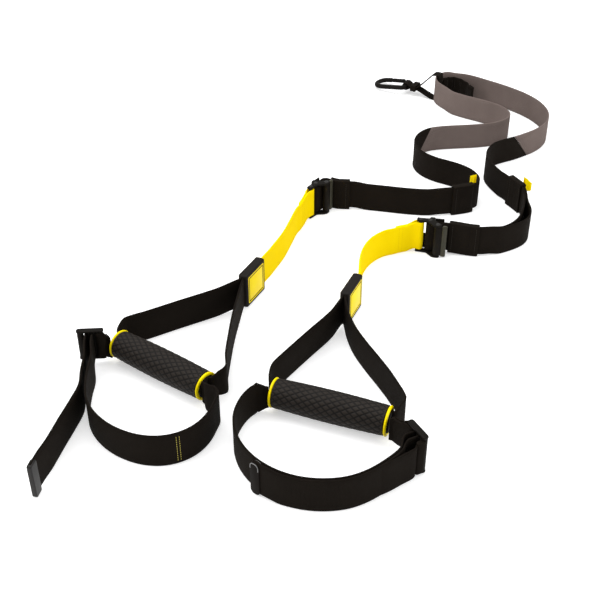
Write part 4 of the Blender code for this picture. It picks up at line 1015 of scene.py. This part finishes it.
def rivetHead(along, left, height, place):
    freeHands()
    bpy.ops.mesh.primitive_uv_sphere_add(segments=24, ring_count=12, radius=1, location=(along, left, height),
                                         scale=(buckle["headRadius"], buckle["headRadius"], buckle["headHeight"]))
    head = bpy.context.object
    bpy.ops.object.transform_apply(location=True, rotation=True, scale=True)
    head.data.transform(place)
    head.data.shade_smooth()
    return head


def makeBuckle(side):
    place = buckleSpot(side)
    top = buckle["height"]
    plate = buckle["plate"]
    plates = [raiseOutline(buckle["outline"], 0.0, plate, place, buckle["corner"]),
              raiseOutline(buckle["outline"], top - plate, top, place, buckle["corner"]),
              raiseOutline(buckle["bed"], plate / 2, top - plate / 2, place, buckle["bedCorner"], 2),
              raiseOutline(buckle["heel"], plate / 2, buckle["heelHeight"], place, buckle["heelCorner"], 2)]
    for plate in plates:
        roundEdges(plate, buckle["edge"], 3, 50)
    body = weld(plates)
    smoothSkin(body, 40)
    handOver(body, side + "_buckle_cast", side + "_buckle_frame", replaced=(side + "_buckle_frame",))
    heads = [rivetHead(along, left, top, place) for along, left in (*buckle["bars"], buckle["cam"])]
    handOver(weld(heads), side + "_rivet_heads", side + "_eye_bar")


def camOutline():
    # the toothed drum seen along its pin, running out into the thumb lever
    points = []
    for step in range(25):
        angle = math.radians(40 + 250 * step / 24)
        radius = buckle["drum"] + (buckle["tooth"] if step < 11 and step % 2 else 0.0)
        points.append((radius * math.cos(angle), radius * math.sin(angle)))
    return points + buckle["thumb"]


def makeLever(side):
    place = buckleSpot(side) @ Matrix.Translation((*buckle["cam"], 0))
    drum = raiseOutline(camOutline(), *buckle["lever"], place)
    roundEdges(drum, buckle["leverEdge"], 2, 60)
    smoothSkin(drum, 40)
    handOver(drum, side + "_cam_drum", side + "_cam_lever", replaced=(side + "_cam_lever",))
    bar = raiseOutline(buckle["bar"], *buckle["barEnds"], place, buckle["barCorner"])
    roundEdges(bar, buckle["barEdge"], 5, 60)
    smoothSkin(bar, 50)
    handOver(bar, side + "_lever_bar", side + "_cam_lever", "oliveMetal")


# Tags: a moulded block with bowed ends, and a bare yellow plate with a dark line round it

tagShape = {
    "headings": {"left": math.radians(64), "right": math.radians(67)},
    "half": 0.0184,          # of the plate
    "blockHalf": 0.0214,
    "bow": 0.0012,
    "thick": 0.0115,
    "height": 0.0426,
    "edge": 0.0019,
    "margin": 0.0036,
    "plateEdge": 0.00012,
    # slabs on the front: from and to this far before it, inset from the plate's outline, and corner
    "slabs": {
        "recess": (-0.0011, 0.0020, -0.0003, 0.0015),
        "plate": (-0.0011, 0.0001, 0.0, 0.0015),
        "grooveOut": (-0.0003, 0.0020, 0.0014, 0.00105),
        "grooveIn": (-0.0010, 0.0030, 0.0030, 0.00075),
        "lineOut": (-0.0004, -0.00015, 0.0013, 0.00105),
        "lineIn": (-0.0010, 0.0010, 0.0031, 0.00075),
    },
}


def tagSlab(side, name):
    back, front, inset, corner = tagShape["slabs"][name]
    face = tagShape["thick"] / 2
    half = tagShape["half"] - inset
    low = tagShape["margin"] + inset
    outline = rectangle(-half, half, low, tagShape["height"] - low)
    stand = boxSpot(side + "_tag_housing", tagShape["headings"][side]) @ Matrix.Rotation(math.pi / 2, 4, "X")
    return raiseOutline(outline, face + back, face + front, stand, corner, 6)


def makeTag(side):
    thick = tagShape["thick"] / 2
    outline = []
    for sign in (1, -1):
        for step in range(9):
            lean = (step - 4) / 4 * sign
            outline.append((sign * (tagShape["blockHalf"] + tagShape["bow"] * (1 - lean * lean)), lean * thick))
    place = boxSpot(side + "_tag_housing", tagShape["headings"][side])
    block = raiseOutline(outline, 0.0, tagShape["height"], place)
    roundEdges(block, tagShape["edge"], 5, 50)
    carve(block, tagSlab(side, "recess"))
    smoothSkin(block, 35)
    handOver(block, side + "_tag_block", side + "_tag_housing", replaced=(side + "_tag_housing",))
    plate = tagSlab(side, "plate")
    paintedGrooveShade = tagSlab(side, "grooveOut")
    carve(paintedGrooveShade, tagSlab(side, "grooveIn"))
    carve(plate, paintedGrooveShade)
    roundEdges(plate, tagShape["plateEdge"], 2, 50)
    smoothSkin(plate, 35)
    handOver(plate, side + "_tag_face", side + "_tag_plate", replaced=(side + "_tag_plate",))
    line = tagSlab(side, "lineOut")
    carve(line, tagSlab(side, "lineIn"))
    handOver(line, side + "_tag_line", side + "_tag_housing")


# Grips

grip = {
    "starts": 16,            # diamonds round the rubber
    "facets": 14,            # faces round and along each diamond
    "facetsAlong": 18,
    "rows": 12,              # diamonds along it
    "reach": 0.0580,
    "middle": 0.0166,
    "end": 0.0153,
    "seat": 0.0138,
    "grooveDepth": 0.00065,
    "grooveHalf": 0.0017,    # each diamond swells up from its grooves
    # half the width of the painted shade along each groove's line
    "shadeLineHalf": 0.00100,
    "fade": 0.002,           # the grooves run out this far before the rubber's ends
    "endDrop": 0.0004,
    "ringMiddle": 0.0600,
    "ringHalfWide": 0.0014,
    "ringRadius": 0.01360,
    "ringHalfThick": 0.00210,
    # the dark hub in each end, as (along, radius)
    "hub": [(0.0575, 0.0128), (0.0604, 0.0126), (0.0617, 0.0119), (0.0630, 0.0104), (0.0627, 0.0078),
            (0.0620, 0.0040), (0.0618, 0.0004), (0.0575, 0.0004)],
}


def makeGrip(side):
    middle, axis = gripLine(side)
    place = spot(middle, math.atan2(axis.y, axis.x), middle.z)
    around = grip["starts"] * grip["facets"]
    steps = grip["rows"] * grip["facetsAlong"]
    reach = grip["reach"]
    long = 2 * reach / grip["rows"]
    wide = 2 * math.pi * grip["middle"] / grip["starts"]
    spacing = long * wide / math.hypot(long, wide)
    # each ring of corners: where along the grip, and how far below the barrel, or at the seat
    stations = [(-reach, None), (-reach, grip["endDrop"])]
    stations += [(-reach + 2 * reach * row / steps, 0.0) for row in range(1, steps)]
    stations += [(reach, grip["endDrop"]), (reach, None)]
    freeHands()
    bpy.ops.mesh.primitive_grid_add(x_subdivisions=around, y_subdivisions=len(stations) - 1, size=0.1)
    rubber = bpy.context.object
    grooveShadeLevels = []
    for row, (along, drop) in enumerate(stations):
        barrel = grip["end"] + (grip["middle"] - grip["end"]) * math.cos(along / reach * math.pi / 2)
        for column in range(around + 1):
            turn = column / grip["facets"]
            down = along / long
            nearest = min(abs(value - round(value)) for value in (turn + down, turn - down)) * spacing
            fade = min(1.0, (reach - abs(along)) / grip["fade"])
            cut = max(0.0, 1 - nearest / grip["grooveHalf"]) ** 1.5 * fade
            radius = grip["seat"] if drop is None else barrel - drop - grip["grooveDepth"] * cut
            angle = 2 * math.pi * column / around
            rubber.data.vertices[row * (around + 1) + column].co = (along, radius * math.sin(angle),
                                                                    radius * math.cos(angle))
            # painted shade along the grooves' lines, kept on the corners for the finish
            grooveShadeLevels.append(max(0.0, 1 - nearest / grip["shadeLineHalf"]) ** 0.6 * fade)
    mark = rubber.data.attributes.new("paintedGrooveShade", "FLOAT", "POINT")
    for index, cut in enumerate(grooveShadeLevels):
        mark.data[index].value = cut
    editAll(rubber)
    bpy.ops.mesh.remove_doubles(threshold=0.000002)
    bpy.ops.mesh.select_all(action="DESELECT")
    bpy.ops.mesh.select_non_manifold()
    bpy.ops.mesh.bridge_edge_loops()
    endOutward()
    rubber.data.transform(place)
    smoothSkin(rubber, 60)
    handOver(rubber, side + "_grip_sleeve", side + "_grip_rubber", "gripRubber", (side + "_grip_rubber",))
    for sign, part in ((-1, "_grip_outer_ring"), (1, "_grip_inner_ring")):
        freeHands()
        bpy.ops.mesh.primitive_torus_add(major_segments=96, minor_segments=18, major_radius=grip["ringRadius"],
                                         minor_radius=grip["ringHalfThick"])
        ring = bpy.context.object
        stretch = grip["ringHalfWide"] / grip["ringHalfThick"]
        turned = Matrix.Translation((sign * grip["ringMiddle"], 0, 0)) @ Matrix.Rotation(math.pi / 2, 4, "Y")
        ring.data.transform(place @ turned @ Matrix.Diagonal((1, 1, stretch, 1)))
        ring.data.shade_smooth()
        handOver(ring, side + part + "_moulded", side + part, replaced=(side + part,))
    hubs = [turnHub(place, sign) for sign in (-1, 1)]
    handOver(weld(hubs), side + "_grip_hubs", side + "_grip_core", replaced=(side + "_grip_core",))


def turnHub(place, sign):
    # a dark hub fills the ring at each end, and the webbing passes through it
    profile = grip["hub"]
    freeHands()
    bpy.ops.mesh.primitive_circle_add(vertices=len(profile), radius=0.01, fill_type="NOTHING")
    hub = bpy.context.object
    for vertex, (along, radius) in zip(hub.data.vertices, profile):
        vertex.co = (sign * along, 0, radius)
    editAll(hub)
    bpy.ops.mesh.spin(steps=64, angle=2 * math.pi, center=(0, 0, 0), axis=(1, 0, 0))
    bpy.ops.mesh.select_all(action="SELECT")
    bpy.ops.mesh.remove_doubles(threshold=0.000002)
    endOutward()
    hub.data.transform(place)
    smoothSkin(hub, 50)
    return hub


# Sliders and end clips

slider = {
    "headings": {"left": math.radians(184), "right": math.radians(-62)},
    "middle": -0.00135,      # the plates' middle, from the slider's middle bar
    "halfLong": 0.01430,
    "halfWide": 0.0033,
    "plate": 0.0024,
    "foot": {"left": 0.0080, "right": 0.0},      # height of the lower plate
    "edge": 0.0007,
    "round": 0.8,            # corners of plates and bars, as a share of half their width
    # each bar: from and to along the slider, and half its thickness
    "bars": [(-0.0124, -0.0086, 0.0019), (-0.0068, -0.0040, 0.0008), (-0.0019, 0.0019, 0.0019),
             (0.0054, 0.0124, 0.0031)],
}


def makeSlider(side):
    node = side + "_cradle_slider"
    middle = slider["middle"]
    half = slider["halfLong"]
    wide = slider["halfWide"]
    foot = slider["foot"][side]
    plate = slider["plate"]
    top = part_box(node)[1][2]
    place = boxSpot(node, slider["headings"][side]) @ Matrix.Translation((-middle, 0, 0))
    outline = rectangle(middle - half, middle + half, -wide, wide)
    parts = [raiseOutline(outline, low, low + plate, place, wide * slider["round"], 6) for low in (foot, top - plate)]
    for start, end, thick in slider["bars"]:
        bar = rectangle(start, end, -thick, thick)
        parts.append(raiseOutline(bar, foot + plate / 2, top - plate / 2, place, thick * slider["round"], 4))
    for part in parts:
        roundEdges(part, slider["edge"], 3, 60)
    frameCast = weld(parts)
    smoothSkin(frameCast, 40)
    handOver(frameCast, node + "_cast", node, replaced=(node,))


# Right tail: its outer layer runs straight on to the slider, and folds round the near bar
outerLayer = {
    "path": [(0.0060, -0.4682), (0.0125, -0.4648), (0.0200, -0.4600), (0.0293, -0.4532), (0.0380, -0.4473),
             (0.0410, -0.4443), (0.0418, -0.4412)],
    "low": 0.0002,
    "high": 0.0382,
    "foldFrom": (0.0419, -0.4418),
    "foldTo": (0.0502, -0.4378),
    "foldHalf": 0.0026,
    "foldLow": 0.0018,
    "foldHigh": 0.0405,
    "foldEdge": 0.0006,
}


def layOuterLayer():
    points = [Vector((*point, 0)) for point in outerLayer["path"]]
    rows = []
    for index in range(len(points) - 1):
        pieces = max(1, round((points[index + 1] - points[index]).length / bandShape["step"]))
        rows += [between(points, index, piece / pieces, False) for piece in range(pieces)]
    rows = [(place + upward * outerLayer["low"], place + upward * outerLayer["high"]) for place in rows + points[-1:]]
    handOver(weaveBand(rows, bandShape["woven"]), "right_tail_outer", "right_cradle_strap")
    start = Vector(outerLayer["foldFrom"])
    along = Vector(outerLayer["foldTo"]) - start
    half = outerLayer["foldHalf"]
    heading = math.atan2(along.y, along.x)
    outline = rectangle(0, along.length, -half, half)
    turned = raiseOutline(outline, outerLayer["foldLow"], outerLayer["foldHigh"], spot(start, heading), half * 0.9, 6)
    roundEdges(turned, outerLayer["foldEdge"], 2, 60)
    metreUv(turned, heading)
    smoothSkin(turned, 40)
    handOver(turned, "right_tail_fold", "right_cradle_strap")


clip = {
    "overlap": 0.0085,       # how much of the clip covers the webbing
    "beyond": 0.0028,
    "halfThick": 0.0025,
    "height": 0.0388,
    "edge": 0.0008,
    "corner": {"left": 0.0022, "right": 0.0048},
    # the pale rim is a painted highlight along the right clip's rounded top
    "rim": 0.00045,
    "highlightInset": 0.0009,
    "highlightLeg": 0.003,         # how far the rim runs down each side
}


def makeClip(side):
    node = side + "_end_clip"
    rows = laid[side + "_cradle_strap"]
    atFirst = firstIsNearer(rows, boxMiddle(node))
    end, before = (rows[0][0], rows[6][0]) if atFirst else (rows[-1][0], rows[-7][0])
    ahead = (end - before).normalized()
    stand = spot(end, math.atan2(ahead.y, ahead.x)) @ Matrix.Rotation(math.pi / 2, 4, "X")
    outline = rectangle(-clip["overlap"], clip["beyond"], 0.0, clip["height"])
    piece = raiseOutline(outline, -clip["halfThick"], clip["halfThick"], stand, clip["corner"][side], 7)
    roundEdges(piece, clip["edge"], 3, 50)
    smoothSkin(piece, 40)
    handOver(piece, node + "_moulded", node, "clipPlastic" if side == "left" else None, (node,))
    if side == "right":
        paintHighlightOnClip(stand, node)


def paintHighlightOnClip(stand, node):
    # a painted highlight: a thin pale rim over the clip's rounded top
    inset = clip["highlightInset"]
    low = -clip["overlap"] + inset
    high = clip["beyond"] - inset
    bend = clip["corner"]["right"] - inset
    top = clip["height"] - inset
    foot = top - bend - clip["highlightLeg"]
    for face in (1, -1):
        depth = face * clip["halfThick"]
        points = [(low, foot, depth)]
        for centre, start in (((low + bend, top - bend), math.pi), ((high - bend, top - bend), math.pi / 2)):
            for step in range(9):
                angle = start - math.pi / 2 * step / 8
                points.append((centre[0] + bend * math.cos(angle), centre[1] + bend * math.sin(angle), depth))
        points.append((high, foot, depth))
        wire(points, clip["rim"], stand, "right_clip_rim_" + ("front" if face > 0 else "back"), node, "rimPlastic")


def wire(points, radius, place, name, like, finish):
    curve = bpy.data.curves.new(name, "CURVE")
    curve.dimensions = "3D"
    line = curve.splines.new("POLY")
    line.points.add(len(points) - 1)
    for point, target in zip(points, line.points):
        target.co = (*point, 1)
    curve.bevel_depth = radius
    curve.bevel_resolution = 2
    curve.use_fill_caps = True
    piece = bpy.data.objects.new(name, curve)
    scene.collection.objects.link(piece)
    pickUp(piece)
    bpy.ops.object.convert(target="MESH")
    piece = bpy.context.object
    piece.data.transform(place)
    piece.data.shade_smooth()
    return handOver(piece, name, like, finish)


# Carabiner: its rods are rounded off from the solid

carabiner = {"voxel": 0.00035, "smoothing": 6}


def castCarabiner():
    for node in ("carabiner_body", "carabiner_gate"):
        piece = copyNode(node)
        skin = piece.modifiers.new("skin", "REMESH")
        skin.mode = "VOXEL"
        skin.voxel_size = carabiner["voxel"]
        flow = piece.modifiers.new("flow", "SMOOTH")
        flow.factor = 0.5
        flow.iterations = carabiner["smoothing"]
        applyModifiers(piece)
        piece.data.shade_smooth()
        handOver(piece, node + "_cast", node, replaced=(node,))


# Seams on the long straps

seam = {
    "grayRows": (2, 4),      # rows of faces from each end of the gray strap
    "yellowRows": (2, 5),    # and from the yellow strap's sewn end towards the buckle
    "yellowFold": 0.045,     # the strap's other layer is further along it than this
    # the left cradle's two yellow rows: where, how far apart, how far from the edges, and from stitch to stitch
    "cradlePlace": (-0.1802, -0.4242),
    "cradleApart": 0.0040,
    "cradleInset": 0.0045,
    "cradlePitch": 0.0028,
}


def yellowLines(side):
    # a yellow strap's end is sewn to its other layer, and both outer faces show the seam
    node = side + "_yellow_strap"
    rows = laid[node]
    eye = jointPlace[side + "_handle_swing"].to_2d()
    bend = rowNear(node, eye)
    travel = travelOf(rows)
    folded = 0 if firstIsNearer(rows, eye) else len(rows) - 1
    edge = rows[folded][0].to_2d()
    beyond = [index for index in range(len(rows)) if abs(travel[index] - travel[folded]) > seam["yellowFold"]]
    facing = min(beyond, key=lambda index: (rows[index][0].to_2d() - edge).length)
    lines = []
    for row, other in ((folded, facing), (facing, folded)):
        for step in seam["yellowRows"]:
            index = row + (step if bend > row else -step)
            normal = sideOf(rows, index)
            if normal.dot(rows[other][0] - rows[row][0]) > 0:
                normal = -normal
            lines.append((acrossRow(node, index), normal))
    return lines


def sewStraps():
    pieces = {node: bpy.data.objects[node + "_woven"] for node in laid}
    node = "center_strap"
    last = len(laid[node]) - 1
    ends = [*seam["grayRows"], *(last - row for row in seam["grayRows"][::-1])]
    sewSeams("center_strap_seams", bothFaces(node, ends), pieces[node], node, "grayThread")
    for side in sides:
        node = side + "_yellow_strap"
        sewSeams(side + "_yellow_stitches", yellowLines(side), pieces[node], node, "goldThread")
    node = "left_cradle_strap"
    middle = rowNear(node, seam["cradlePlace"])
    step = round(seam["cradleApart"] / bandShape["step"] / 2)
    sewSeams("left_cradle_stitches", bothFaces(node, (middle - step, middle + step), seam["cradleInset"]),
             pieces[node], node, "yellowThread", seam["cradlePitch"])


def dressNodes():
    # what stays from the CAD takes the finish of its slot
    for node, solid in nodes.items():
        for place in solid.material_slots:
            place.material = finishes[slotOf[node]]


aimCamera()
lightStudio()
finishes = makeFinishes()
dressNodes()
print("studio and finishes ready")
layLongStraps()
print("straps laid")
stitchShape = makeStitch()
layAnchor()
castCarabiner()
print("anchor and carabiner made")
for side in sides:
    dressSleeves(side)
    bendTabs(side)
    makeBuckle(side)
    makeLever(side)
    makeTag(side)
    makeGrip(side)
    makeSlider(side)
    makeClip(side)
    print(side, "hardware made")
layOuterLayer()
sewStraps()
print("seams sewn")
